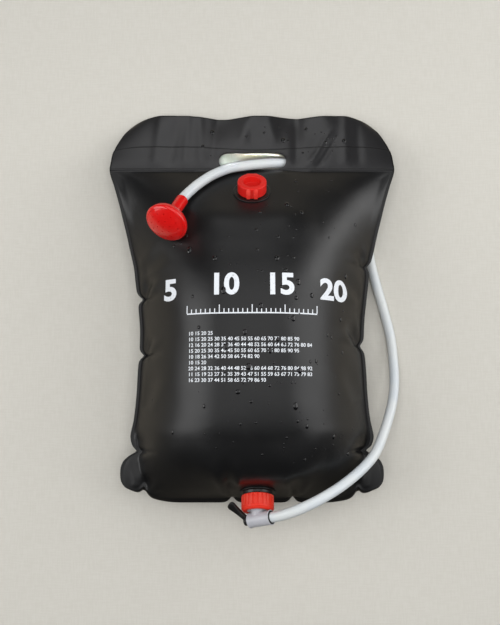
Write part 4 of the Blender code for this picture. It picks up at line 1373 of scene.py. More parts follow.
    def front(self, side: Array, row: Array) -> Array:
        """Returns the front sheet's outer face with its folds."""
        base = self.front_base(side, row)
        normal = self.normals(self.front_base, side, row)
        depth = self.fold_depth(base[..., 0], base[..., 1])
        inside = self.inside_seams(side, row)
        held = eased(inside / 0.012)
        slack = 0.0004 * (
            np.sin(base[..., 0] * 61 + base[..., 1] * 23) * np.sin(base[..., 1] * 47 + 1.3)
        ) * eased(inside / 0.05)
        for seat in (self.fill_seat, self.outlet_seat):
            away = np.linalg.norm(base - np.array(seat.centre), axis=-1)
            clear = eased((away - 0.03) / 0.02)
            depth, slack = depth * clear, slack * clear
        return base + normal * (self.wall - depth * held + slack)[..., None]

    def back(self, side: Array, row: Array) -> Array:
        """Returns the back sheet's outer face, drawn into soft folds round its flat patch."""
        base = self.back_base(side, row)
        normal = self.normals(self.back_base, side, row)
        inside = self.inside_seams(side, row)
        lift = self.underside(side, row)
        band = eased(inside / 0.015) * eased(lift / 0.25)
        angle = np.arctan2(base[..., 1], base[..., 0] * 1.3)
        wave = np.sin(angle * 17 + 0.6) * 0.6 + np.sin(angle * 29 + 2.1) * 0.4
        depth = 0.0016 * (0.6 + wave) * band
        return base + normal * depth[..., None]

    def on_front(self, x: Array, y: Array, lift: float) -> tuple[Array, Array]:
        """Finds places on the front sheet by their plan, away from its corners.

        Args:
            x: the places' x.
            y: the places' y.
            lift: how far over the sheet the points come.

        Returns:
            The points and the sheet's normals there.
        """
        side = x / self.half_width(y)
        points = self.front(side, y)
        normal = self.normals(self.front, side, y)
        return points + normal * lift, normal


@dataclass
class WaterBag:
    """The welded sheets, their band, print and drops."""

    finishes: FinishBox
    form: BagForm = field(default_factory=BagForm)
    columns: int = 176
    chamber_rows: int = 212
    header_rows: int = 42
    flange_columns: int = 3
    crowding: float = 1.5
    slot_centre: Pair = (0.0008, 0.2545)
    slot_size: Pair = (0.0972, 0.027)
    band_start: float = 0.0025
    band_depth: float = 0.0375
    band_rows: int = 18
    weld_width: float = 0.005
    flat_size: Pair = (0.409, 0.561)
    flat_area: float = 0.213
    fill_hole: float = 0.0164
    outlet_hole: float = 0.0144
    table_rows: tuple[tuple[int, int, int], ...] = (
        (10, 5, 4), (10, 5, 17), (12, 4, 19), (15, 5, 17), (10, 8, 11), (10, 5, 3), (20, 4, 19),
        (11, 4, 19), (16, 7, 12),
    )
    ink: float = 0.00008
    print_cell: float = 0.003
    drops: int = 190
    drop_seed: int = 7

    def stations(self) -> Array:
        """Returns the columns as shares of the half width, signed, with 2 for the cut edge."""
        half = np.linspace(0.0, 1.0, self.columns // 2 + 1)
        half = 1 - (1 - half) ** self.crowding
        edge = 1 + np.linspace(0.0, 1.0, self.flange_columns + 1)[1:]
        whole = np.concatenate([half, edge])
        return np.concatenate([-whole[:0:-1], whole])

    def side_shares(self, stations: Array, rows: Array) -> Array:
        """Turns columns into shares of the half width on each row.

        Args:
            stations: the columns, up to one inside the seam and up to two on its flange.
            rows: the rows.

        Returns:
            Shares for every column and row.
        """
        inner = np.clip(np.abs(stations), 0.0, 1.0)[None, :]
        outer = np.clip(np.abs(stations) - 1.0, 0.0, 1.0)[None, :]
        seam = self.form.chamber_share(rows)[:, None]
        return np.sign(stations)[None, :] * (inner * seam + outer * (1 - seam))

    def rows(self) -> Array:
        """Returns the rows from the bottom edge to the top edge."""
        form = self.form
        flange = np.linspace(form.bottom, form.chamber_bottom, self.flange_columns + 1)[:-1]
        share = np.linspace(-1.0, 1.0, self.chamber_rows + 1)
        middle = (form.weld + form.chamber_bottom) / 2
        half = (form.weld - form.chamber_bottom) / 2
        crowded = np.sign(share) * (1 - (1 - np.abs(share)) ** 1.25)
        header = np.linspace(form.weld, form.top, self.header_rows + 1)[1:]
        return np.concatenate([flange, middle + half * crowded, header])

    def slot_offset(self, x: Array, y: Array) -> tuple[Array, Array, Array]:
        """Measures places against the slot's outline.

        Args:
            x: the places' x.
            y: the places' y.

        Returns:
            How far outside the outline each is, and the outline's nearest x and y.
        """
        radius = self.slot_size[1] / 2
        reach = self.slot_size[0] / 2 - radius
        core = np.clip(x - self.slot_centre[0], -reach, reach) + self.slot_centre[0]
        dx, dy = x - core, y - self.slot_centre[1]
        away = np.maximum(np.hypot(dx, dy), 1e-9)
        return away - radius, core + dx / away * radius, self.slot_centre[1] + dy / away * radius

    def sheet(
        self, name: str, surface: Callable, rows: Array, holes: Sequence[tuple], up: bool
    ) -> Piece:
        """Makes one welded sheet with its holes.

        Args:
            name: the sheet's name.
            surface: the form's method that gives its outer face.
            rows: its rows.
            holes: each port's seat and hole radius.
            up: whether its outer face looks up.

        Returns:
            The sheet, with its wall.
        """
        form, stations = self.form, self.stations()
        sides = self.side_shares(stations, rows)
        grid_rows = np.broadcast_to(rows[:, None], sides.shape)
        points = surface(sides, grid_rows)
        count = sides.shape[1]
        away, *nearest = self.slot_offset(points[..., 0], points[..., 1])
        gone = (away < 0) & (grid_rows > form.weld)
        snapped = points.copy()
        for axis, near in enumerate(nearest):
            snapped[..., axis] = np.where(gone, near, points[..., axis])
        for seat, radius in holes:
            offset = points - np.array(seat.centre)
            out = np.array(seat.outward)
            flat = offset - out * (offset @ out)[..., None]
            reach = np.linalg.norm(flat, axis=-1)
            inside = (reach < radius) & (np.abs(offset @ out) < 0.01)
            pushed = points + flat * (radius / np.maximum(reach, 1e-9) - 1)[..., None]
            snapped = np.where(inside[..., None], pushed, snapped)
            gone |= inside
        faces = []
        for row in range(sides.shape[0] - 1):
            for k in range(count - 1):
                corners = ((row, k), (row, k + 1), (row + 1, k + 1), (row + 1, k))
                if all(gone[corner] for corner in corners):
                    continue
                if sum(bool(gone[corner]) for corner in corners) > 2:
                    corners = self.trimmed(corners, gone)
                loop = tuple(r * count + c for r, c in corners)
                faces.append(loop if up else loop[::-1])
        made = mesh_object(name, snapped.reshape(-1, 3), faces)
        inside = form.inside_seams(sides, grid_rows)
        band_top = form.weld + self.band_start + self.band_depth
        over = grid_rows - form.weld
        shut = np.where(grid_rows > form.chamber_bottom + 0.004, inside, 1.0)
        pressed = np.minimum(np.abs(shut + 0.0006), np.abs(grid_rows - band_top - 0.0007) * 0.5)
        pressed = np.minimum(pressed, np.abs(over - self.weld_width))
        from_end = np.minimum(grid_rows - form.bottom, form.top - grid_rows)
        from_side = (1 - np.abs(sides)) * form.half_width(grid_rows)
        measured(made, {
            "inside_seams": inside, "press_line": pressed, "over_weld": over,
            "from_rim": np.minimum(from_side, from_end),
        })
        self.drop_loose(made)
        modify(made, "SOLIDIFY", thickness=form.wall, offset=-1)
        return shade(apply_modifiers(made), 50.0)

    def trimmed(self, corners: Sequence[tuple], gone: Array) -> Sequence[tuple]:
        """Returns a cell's corners without the middle one of three lost corners."""
        for k in range(4):
            if gone[corners[k - 1]] and gone[corners[k]] and gone[corners[(k + 1) % 4]]:
                return tuple(corner for n, corner in enumerate(corners) if n != k)
        return corners

    def drop_loose(self, made: Piece) -> None:
        """Deletes points that no face uses."""
        work = bmesh.new()
        work.from_mesh(made.data)
        loose = [vertex for vertex in work.verts if not vertex.link_faces]
        bmesh.ops.delete(work, geom=loose, context="VERTS")
        work.to_mesh(made.data)
        work.free()

    def build(self) -> None:
        """Builds and dresses every piece of the bag."""
        form, finish = self.form, self.finishes
        holes = ((form.fill_seat, self.fill_hole), (form.outlet_seat, self.outlet_hole))
        front = self.sheet("front_sheet", form.front, self.rows(), holes, True)
        dress(front, finish.sheet, Body.BAG, Slot.SHEET, "front_panel")
        back = self.sheet("back_sheet", form.back, self.rows(), (), False)
        dress(back, finish.sheet, Body.BAG, Slot.SHEET, "back_panel")
        low = form.weld + self.band_start
        rows = np.linspace(low, low + self.band_depth, self.band_rows + 1)
        band = self.sheet("slot_band", self.band_face, rows, (), True)
        dress(band, finish.sheet, Body.BAG, Slot.SHEET, "handle_strip")
        self.build_print()
        self.build_drops()

    def band_face(self, side: Array, row: Array) -> Array:
        """Returns the outer face of the band on the front of the header."""
        normal = self.form.normals(self.form.front, side, row)
        return self.form.front(side, row) + normal * (self.form.wall + self.form.gap)

    def laid(self, name: str, flat: Piece) -> Piece:
        """Lays flat artwork on the front sheet and gives it the ink's thickness.

        Args:
            name: the piece's name.
            flat: the artwork, flat in plan.

        Returns:
            The laid piece.
        """
        work = bmesh.new()
        work.from_mesh(flat.data)
        bmesh.ops.remove_doubles(work, verts=work.verts, dist=1e-6)
        for axis in (Vector((1, 0, 0)), Vector((0, 1, 0))):
            values = [vertex.co.dot(axis) for vertex in work.verts]
            place = min(values)
            while place < max(values):
                geometry = work.verts[:] + work.edges[:] + work.faces[:]
                bmesh.ops.bisect_plane(work, geom=geometry, plane_co=axis * place, plane_no=axis)
                place += self.print_cell
        plan = np.array([(vertex.co.x, vertex.co.y) for vertex in work.verts])
        points, _ = self.form.on_front(plan[:, 0], plan[:, 1], 2 * self.ink)
        for vertex, point in zip(work.verts, points):
            vertex.co = point
        for face in work.faces:
            face.normal_update()
            if face.normal.z < 0:
                face.normal_flip()
        work.to_mesh(flat.data)
        work.free()
        flat.name = name
        flat.data.name = name
        modify(flat, "SOLIDIFY", thickness=self.ink, offset=-1)
        return shade(apply_modifiers(flat))

    def numeral(
        self, words: str, size: float, x: float, y: float, weight: float, align: str = "CENTER"
    ) -> Piece:
        """Makes flat numerals in plan.

        Args:
            words: the numbers.
            size: their height.
            x: their middle, or their left end.
            y: their foot.
            weight: how far the strokes are thickened, as a share of the height.
            align: CENTER or LEFT.

        Returns:
            The flat mesh object.
        """
        curve = bpy.data.curves.new("numeral", "FONT")
        curve.body = words
        curve.size = size * 1.38
        curve.align_x = align
        curve.offset = size * weight
        curve.resolution_u = 3 if size < 0.01 else 8
        text = linked("numeral", curve)
        graph = bpy.context.evaluated_depsgraph_get()
        mesh = bpy.data.meshes.new_from_object(text.evaluated_get(graph), depsgraph=graph)
        bpy.data.objects.remove(text)
        return transform(linked("numeral", mesh), Matrix.Translation((x, y, 0.0)))

    def bars(self, boxes: Sequence[tuple[float, float, float, float]]) -> Piece:
        """Makes flat rectangles in plan from their left, bottom, right and top."""
        vertices, faces = [], []
        for left, low, right, high in boxes:
            first = len(vertices)
            vertices += [(left, low, 0), (right, low, 0), (right, high, 0), (left, high, 0)]
            faces.append(tuple(range(first, first + 4)))
        return mesh_object("bars", vertices, faces)

    def build_print(self) -> None:
        """Prints a plain level scale: large numerals, a graduated rule and rows of numbers."""
        flats = []
        for words, x in (("5", -0.108), ("10", -0.036), ("15", 0.036), ("20", 0.108)):
            bow = 0.0055 * (1 - (x / 0.12) ** 2)
            flats.append(self.numeral(words, 0.028, x, 0.041 + bow, 0.046))
        rule = [(-0.084, 0.02, 0.084, 0.0216)]
        for k in range(29):
            x = -0.084 + 0.006 * k
            tall = 0.01 if k % 7 == 0 else 0.005
            rule.append((x - 0.0006, 0.0216, x + 0.0006, 0.0216 + tall))
        flats.append(self.bars(rule))
        for line, (first, step, count) in enumerate(self.table_rows):
            words = " ".join(str(first + step * n) for n in range(count))
            low = -0.007 - line * 0.0075
            flats.append(self.numeral(words, 0.0048, -0.082, low, 0.022, "LEFT"))
        laid = [self.laid(f"scale_{number}", flat) for number, flat in enumerate(flats)]
        dress(joined("level_scale_print", *laid), self.finishes.ink, Body.BAG, None)

    def build_drops(self) -> None:
        """Scatters drops of water on the front sheet and the header."""
        form = self.form
        generator = np.random.default_rng(self.drop_seed)
        x = generator.normal(0.055, 0.075, self.drops * 4)
        y = generator.uniform(-0.165, 0.315, self.drops * 4)
        half = form.half_width(y)
        clear = (np.abs(x) < half * 0.86) & (np.abs(y - form.weld) > 0.006)
        clear &= self.slot_offset(x, y)[0] > 0.01
        clear &= np.hypot(x, y - 0.205) > 0.038
        clear &= ~((y > 0.215) & (y < 0.29) & (np.abs(x) < 0.055))
        x, y = x[clear][: self.drops], y[clear][: self.drops]
        points, facing = form.on_front(x, y, 0.0)
        on_band = (y > form.weld + self.band_start) & (y < form.weld + 0.04)
        points = points + facing * (on_band * (form.wall + form.gap))[:, None]
        made = mesh_object("water_drops", points, [])
        size = np.clip(generator.gamma(2.4, 0.0006, len(points)), 0.0006, 0.0034)
        stretch = generator.uniform(0.9, 1.7, len(points))
        measured(made, {"drop_size": size, "drop_stretch": stretch, "drop_facing": facing})
        grown(made, drop_tree(), self.finishes.water)
        dress(shade(made, 180.0), self.finishes.water, Body.BAG, None)


@dataclass(frozen=True)
class Screw:
    """The thread on a port's neck."""

    radius: float
    pitch: float
    turns: float
    crest: float
    start: float

    def set_on(self, port: Piece, finish: Material, place: Matrix) -> Piece:
        """Joins the thread to its port.

        Args:
            port: the port.
            finish: its material.
            place: its frame.

        Returns:
            The port with its thread.
        """
        thread = grown(
            mesh_object("thread", [(0, 0, 0)], []), thread_tree(), finish, Radius=self.radius,
            Rise=self.pitch * self.turns, Turns=self.turns, Thickness=self.crest,
        )
        transform(thread, place @ Matrix.Translation((0, 0, self.start)))
        return joined(port.name, port, thread)


@dataclass
class FillOpening:
    """The fill port, its washer and its screw cap."""

    finishes: FinishBox
    flange_radius: float = 0.0262
    flange: float = 0.0014
    neck_radius: float = 0.0159
    thread_crest: float = 0.0008
    bore: float = 0.0145
    neck_top: float = 0.0135
    spigot: float = -0.0038
    cap_radius: float = 0.02
    cap_top: float = 0.0173
    cap_low: float = 0.0023
    cup: float = 0.0126
    cup_wall: float = 0.0016
    cup_floor: float = 0.0078
    skirt: float = 0.0171
    under: float = 0.0151
    lug_near: float = 0.0022
    lug_wide: float = 0.0056
    lug_reach: float = 0.0213
    pitch: float = 0.006

    def build(self) -> None:
        """Builds and dresses the port, washer and cap."""
        place = joint_frame("fill_cap_turn", (1, 0, 0))
        self.build_port(place)
        gasket = turned("fill_washer", [
            (self.bore, 0.0138, 0.0002), (self.bore, 0.0148, 0.0002),
            (0.0168, 0.0148, 0.0002), (0.0168, 0.0138, 0.0002),
        ], place)
        dress(gasket, self.finishes.rubber, Body.CAP_SEAL, Slot.RUBBER, "fill_gasket")
        self.build_cap(place)

    def build_port(self, place: Matrix) -> None:
        """Builds the port with its thread.

        Args:
            place: the port's frame.
        """
        low, high = 0.0003, 0.0003 + self.flange
        rim = high - 0.0004
        port = turned("fill_port_body", [
            (self.bore, self.spigot, 0.0004), (0.0161, self.spigot, 0.0004), (0.0161, low, 0),
            (self.flange_radius, low, 0.0002), (self.flange_radius, rim, 0.0004),
            (0.024, high, 0.0006), (0.0232, rim, 0.0004), (0.019, rim, 0.0003),
            (0.0184, high, 0.0004), (self.neck_radius, high, 0.0008),
            (self.neck_radius, self.neck_top, 0.0006), (self.bore, self.neck_top, 0.0004),
        ], place)
        screw = Screw(self.neck_radius, self.pitch, 1.2, self.thread_crest, 0.0048)
        port = screw.set_on(port, self.finishes.port, place)
        dress(port, self.finishes.port, Body.BAG, Slot.PORT, "fill_port")

    def build_cap(self, place: Matrix) -> None:
        """Builds the cap: a skirt, a deep cup and two pairs of grip lugs.

        Args:
            place: the port's frame.
        """
        outer, top = self.cap_radius, self.cap_top
        cap = turned("cap_shell", [
            (0, self.cup_floor, 0), (self.cup - 0.0008, self.cup_floor, 0.001),
            (self.cup, top, 0.0008), (outer, top, 0.0012), (outer, self.cap_low, 0.0005),
            (self.skirt, self.cap_low, 0.0003), (self.skirt, self.under, 0.0004),
            (0.0142, self.under, 0.0003), (0.0142, self.cup_floor - self.cup_wall, 0.0005),
            (0, self.cup_floor - self.cup_wall, 0),
        ], place, 128)
        for turn in (0.0, math.pi):
            for sign in (-1, 1):
                cut(cap, "UNION", self.lug(place @ Matrix.Rotation(turn, 4, "Z"), sign))
        modify(
            cap, "BEVEL", width=0.0003, segments=2, limit_method="ANGLE",
            angle_limit=math.radians(50),
        )
        cap.name = "fill_cap_shell"
        dress(shade(apply_modifiers(cap), 40), self.finishes.cap, Body.CAP, Slot.CAP, "fill_cap")

    def lug(self, place: Matrix, sign: int) -> Piece:
        """Makes one grip lug.

        Args:
            place: the frame whose -Y the lug stands on.
            sign: which side of that it stands.

        Returns:
            The lug as a tool piece.
        """
        near, far = self.lug_near * sign, (self.lug_near + self.lug_wide) * sign
        inner, outer = -0.018, -self.lug_reach
        rings = []
        for height, ease in ((self.cap_low, 0.0003), (0.015, 0.0), (0.0166, 0.0008)):
            start, end = near + ease * sign, far - ease * sign
            rings.append([place @ Vector(point) for point in (
                (start, inner, height), (end, inner, height), (end, outer + ease, height),
                (start, outer + ease, height),
            )])
        return lofted("lug", rings)


@dataclass
class OutletUnion:
    """The outlet port, its washer and the ribbed union nut."""

    finishes: FinishBox
    flange_radius: float = 0.024
    flange_top: float = 0.0018
    collar_radius: float = 0.0193
    collar_top: float = 0.0061
    neck_radius: float = 0.0158
    bore: float = 0.0125
    neck_top: float = 0.019
    nut_radius: float = 0.0218
    nut_low: float = 0.0064
    nut_high: float = 0.0274
    lip_low: float = 0.0244
    lip_bore: float = 0.0146
    nut_bore: float = 0.0174
    ribs: int = 22
    pitch: float = 0.003

    def build(self) -> None:
        """Builds and dresses the port, washer and nut."""
        place = joint_frame("nut_turn", (1, 0, 0))
        finish = self.finishes
        port = turned("outlet_port_body", [
            (self.bore, -0.0038, 0.0004), (0.0141, -0.0038, 0.0004), (0.0141, 0.0003, 0),
            (self.flange_radius, 0.0003, 0.0002), (self.flange_radius, self.flange_top, 0.0006),
            (self.collar_radius + 0.0008, self.flange_top, 0.0008),
            (self.collar_radius, self.collar_top, 0.0012),
            (self.neck_radius, self.collar_top, 0.0006), (self.neck_radius, self.neck_top, 0.0006),
            (self.bore, self.neck_top, 0.0004),
        ], place)
        screw = Screw(self.neck_radius, self.pitch, 3.2, 0.0009, 0.008)
        port = screw.set_on(port, finish.port, place)
        dress(port, finish.port, Body.BAG, Slot.PORT, "outlet_port")
        washer = turned("outlet_washer", [
            (self.bore, 0.0193, 0.0003), (0.0168, 0.0193, 0.0003), (0.0168, 0.0208, 0.0003),
            (self.bore, 0.0208, 0.0003),
        ], place)
        dress(washer, finish.rubber, Body.TAP, Slot.RUBBER, "outlet_gasket")
        self.build_nut(place)

    def build_nut(self, place: Matrix) -> None:
        """Builds the nut, a smooth body with ribs set round it.

        Args:
            place: the outlet's frame.
        """
        wide, low, high = self.nut_radius, self.nut_low, self.nut_high
        core = wide - 0.001
        body = turned("nut_body", [
            (core, low, 0.0006), (core, high - 0.0022, 0.001), (wide - 0.0026, high, 0.001),
            (self.lip_bore, high, 0.0005), (self.lip_bore, self.lip_low, 0.0004),
            (self.nut_bore, self.lip_low, 0.0006), (self.nut_bore, low, 0.0003),
        ], Matrix())
        rim = turned("nut_rim", [
            (core - 0.002, high - 0.0062, 0), (wide, high - 0.0062, 0.0004),
            (wide, high - 0.0026, 0.0009), (core - 0.002, high - 0.0022, 0),
        ], Matrix())
        heights = ((low + 0.0002, 0.0007), (low + 0.0009, 0.0), (0.019, 0.0), (0.0216, 0.0))
        rib = lofted("rib", [
            [
                Vector((x - ease * (x > 0), y, height)) for x, y in (
                    (-0.002, -0.002), (0.0008, -0.0018), (0.001, -0.001), (0.001, 0.001),
                    (0.0008, 0.0018), (-0.002, 0.002),
                )
            ]
            for height, ease in heights
        ])
        ribs = grown(rib, ring_of_tree(), self.finishes.nut, Count=self.ribs, Radius=core)
        nut = joined("union_nut", body, rim, ribs)
        transform(nut, place)
        dress(nut, self.finishes.nut, Body.NUT, Slot.NUT, "outlet_nut")


@dataclass
class LeverTap:
    """The milky tap with its plug, seals, lever and the hose's dark seat."""

    finishes: FinishBox
    barrel_radius: float = 0.0094
    rim_radius: float = 0.0101
    rim: float = 0.0017
    left: float = -0.0121
    right: float = 0.0214
    chamber: float = 0.0074
    chamber_right: float = 0.0095
    web: float = 0.0048
    seat: float = 0.009
    seat_depth: float = 0.005
    hub: float = 0.006
    hub_length: float = 0.0072
    lever_start_deg: float = 42.0
    lever_rake_deg: float = 33.0
    lever_length: float = 0.031
    lever_half_width: float = 0.0066
    lever_half_thickness: float = 0.0031
    sections: tuple[Triple, ...] = (
        (0.00, 0.55, 0.9), (0.15, 0.56, 0.96), (0.3, 0.58, 1.00), (0.46, 0.64, 0.99),
        (0.62, 0.74, 0.95), (0.74, 0.86, 0.9), (0.84, 0.96, 0.85), (0.91, 0.94, 0.79),
        (0.96, 0.8, 0.68), (0.99, 0.56, 0.48), (1.00, 0.3, 0.3),
    )

    def build(self) -> None:
        """Builds and dresses every piece of the tap."""
        outlet = joint_frame("nut_turn", (1, 0, 0))
        barrel = joint_frame("lever_turn", outlet.to_3x3().col[2])
        self.build_body(outlet, barrel)
        self.build_plug(barrel)
        self.build_lever(barrel)
        seat = self.right - self.seat_depth
        grommet = turned("hose_seat_ring", [
            (self.web, seat + 0.0003, 0.0003), (0.0087, seat + 0.0003, 0.0003),
            (0.0087, self.right + 0.0006, 0.0006), (self.web, self.right + 0.0006, 0.0004),
        ], barrel)
        dress(grommet, self.finishes.rubber, Body.TAP, Slot.RUBBER, "hose_grommet")

    def build_body(self, outlet: Matrix, barrel: Matrix) -> None:
        """Builds the body: a flange, a stem and the barrel, melted together.

        Args:
            outlet: the outlet's frame.
            barrel: the barrel's frame.
        """
        height = (outlet.inverted() @ barrel.translation).z
        stem = turned("tap_stem", [
            (0, 0.0211, 0), (0.0168, 0.0211, 0), (0.0168, 0.0241, 0), (0.014, 0.0241, 0),
            (0.014, 0.0266, 0.0003), (0.0088, 0.0266, 0), (0.0088, height, 0), (0, height, 0),
        ], outlet, 64)
        left, right, wide, narrow = self.left, self.right, self.rim_radius, self.barrel_radius
        tube = turned("tap_tube", [
            (0, left, 0), (wide, left, 0.0003), (wide, left + self.rim, 0.0003),
            (narrow, left + self.rim, 0), (narrow, right - self.rim, 0),
            (wide, right - self.rim, 0.0003), (wide, right, 0.0003), (0, right, 0),
        ], barrel, 64)
        body = melted(joined("tap_body_shell", stem, tube), 0.00032, 4)
        seat, over = right - self.seat_depth, 0.002
        bore = turned("tap_bore", [
            (0, left - over, 0), (self.chamber, left - over, 0),
            (self.chamber, self.chamber_right, 0), (self.web, self.chamber_right, 0),
            (self.web, seat, 0), (self.seat, seat, 0), (self.seat, right + over, 0),
            (0, right + over, 0),
        ], barrel, 64)
        cut(body, "DIFFERENCE", bore)
        bored(body, 0.0042, 0.018, height, outlet)
        dress(shade(body, 45), self.finishes.tap, Body.TAP, Slot.TAP, "tap_body")

    def build_plug(self, barrel: Matrix) -> None:
        """Builds the plug that the lever turns, and its two seals.

        Args:
            barrel: the barrel's frame.
        """
        radius, groove, thick = 0.0071, 0.00556, 0.00062
        right = self.chamber_right - 0.0003
        corners: Profile = [(0.004, right, 0.0002), (radius, right, 0.0003)]
        for middle in (0.0075, -0.0075):
            corners += [
                (radius, middle + 0.001, 0), (groove, middle + 0.001, 0),
                (groove, middle - 0.001, 0), (radius, middle - 0.001, 0),
            ]
        left, spindle = self.left, self.left - 0.005
        corners += [
            (radius, left, 0.0003), (0.0035, left, 0), (0.0035, spindle, 0.0003),
            (0, spindle, 0), (0, -0.0055, 0), (0.004, -0.0055, 0),
        ]
        plug = turned("tap_plug_body", corners[-2:] + corners[:-2], barrel, 64)
        bored(plug, 0.0036, 0, 0.012, barrel @ frame_at((0, 0, 0), (-1, 0, 0), (0, 1, 0)))
        dress(plug, self.finishes.tap, Body.LEVER, Slot.TAP, "tap_plug")
        for number, middle in ((1, 0.0075), (2, -0.0075)):
            ring = [
                (0.00648 + thick * math.cos(math.tau * k / 16),
                 middle + thick * math.sin(math.tau * k / 16), 0.0)
                for k in range(16)
            ]
            seal = turned(f"plug_seal_{number}", ring, barrel, 64)
            dress(seal, self.finishes.rubber, Body.LEVER, Slot.RUBBER, f"tap_o_ring_{number}")

    def build_lever(self, barrel: Matrix) -> None:
        """Builds the lever: a hub with a raked paddle, melted together.

        Args:
            barrel: the barrel's frame.
        """
        near = self.left - 0.0003
        far = near - self.hub_length
        hub = turned("lever_hub", [
            (0, near, 0), (self.hub, near, 0.0004), (self.hub, far, 0.0012), (0, far, 0),
        ], barrel, 64)
        start, rake = math.radians(self.lever_start_deg), math.radians(self.lever_rake_deg)
        radial = Vector((-math.cos(start), -math.sin(start), 0))
        thick = Vector((math.sin(start), -math.cos(start), 0))
        along = radial * math.cos(rake) - Vector((0, 0, 1)) * math.sin(rake)
        wide = along.cross(thick)
        root = Vector((0, 0, (near + far) / 2)) + radial * self.hub / 2
        sides, rings = 28, []
        for share, width, thickness in self.sections:
            middle = root + along * (self.lever_length * share)
            rings.append([])
            for k in range(sides):
                c, s = math.cos(math.tau * k / sides), math.sin(math.tau * k / sides)
                across = math.copysign(abs(c) ** 0.6, c) * self.lever_half_width * width
                through = math.copysign(abs(s) ** 0.6, s) * self.lever_half_thickness * thickness
                rings[-1].append(barrel @ (middle + wide * across + thick * through))
        lever = melted(joined("lever_paddle", hub, lofted("paddle", rings)), 0.0003, 6)
        bored(lever, 0.0038, near - 0.005, near + 0.002, barrel)
        dress(shade(lever, 45), self.finishes.lever, Body.LEVER, Slot.LEVER, "tap_lever")


@dataclass
class ShowerHead:
    """The red shower head: a bell with its socket, and the perforated face in its rim."""

    finishes: FinishBox
    radius: float = 0.029
    rim: float = 0.0022
    rise: float = 0.006
    wall: float = 0.002
    bell: float = 0.02
    socket_radius: float = 0.0087
    socket: float = 0.036
    insert: float = 0.01
    hose_radius: float = 0.007
    waterway: float = 0.0045
    rose_radius: float = 0.0255
    rose: float = 0.0016
    hole: float = 0.0008
    hole_pitch: float = 0.0095

    def place(self) -> Matrix:
        """Returns the frame at the middle of the rim, Z out of the face."""
        return joint_frame("head_swivel", (0, 0, 1))

    @property
    def mouth(self) -> float:
        """The height of the socket's mouth along the axis."""
        return -(self.bell + self.socket)

    def quarter(self, wide: float, narrow: float, high: float, low: float) -> Profile:
        """Returns a bell's quarter round from its wide end in to its narrow end."""
        count = 20
        angles = [math.pi / 2 * k / count for k in range(1, count + 1)]
        return [
            (narrow + (wide - narrow) * math.cos(t), high - (high - low) * math.sin(t), 0.0)
            for t in angles
        ]

    def build(self) -> list[Piece]:
        """Builds and dresses the head.

        Returns:
            Its two pieces.
        """
        place = self.place()
        lip = self.rose_radius + 0.0003
        seat = -self.rim / 2 - self.wall / 2
        bore, stop = self.hose_radius + 0.0003, self.mouth + self.insert + 0.0003
        outside: Profile = [(lip, -0.0002, 0.0001), (self.radius - 0.001, -0.0014, 0.0014)]
        outside += [(self.radius, -0.0034, 0.001), (self.radius, -self.rim - 0.0014, 0.0001)]
        socket = self.socket_radius
        outside += self.quarter(self.radius, socket, -self.rim - 0.0014, -self.bell)[:-1]
        outside += [
            (socket + 0.0002, -self.bell - 0.001, 0.0012), (socket, -self.bell - 0.004, 0.0),
            (socket, self.mouth, 0.001),
        ]
        inside: Profile = [
            (bore, self.mouth, 0.0004), (bore, stop, 0), (self.waterway, stop, 0),
            (self.waterway, -self.bell, 0),
        ]
        room, ceiling = lip - self.wall, seat - self.wall
        inside += self.quarter(room, self.waterway, ceiling, self.wall - self.bell)[::-1]
        inside += [(room, ceiling, 0), (room, seat, 0), (lip, seat, 0)]
        body = turned("head_bell", outside + inside, place, 128)
        dress(body, self.finishes.head, Body.HEAD, Slot.HEAD, "shower_head_body")
        rose = self.build_rose(place, seat + 0.0003)
        return [body, rose]

    def build_rose(self, place: Matrix, low: float) -> Piece:
        """Builds the perforated face.

        Args:
            place: the head's frame.
            low: the height of its seat.

        Returns:
            The face.
        """
        count = 28
        shares = [k / count for k in range(count + 1)]
        dome: Profile = [
            (self.rose_radius * share, base + self.rise * (1 - share**2), 0.0)
            for base, line in ((low + self.rose, shares), (low, shares[::-1])) for share in line
        ]
        rose = turned("head_rose", dome, Matrix())
        grown(
            rose, perforated_tree(), self.finishes.head, Pitch=self.hole_pitch,
            Hole_Radius=self.hole, Depth=0.03,
        )
        transform(rose, place)
        return dress(
            shade(rose, 40), self.finishes.head, Body.HEAD, Slot.HEAD, "shower_head_rose"
        )


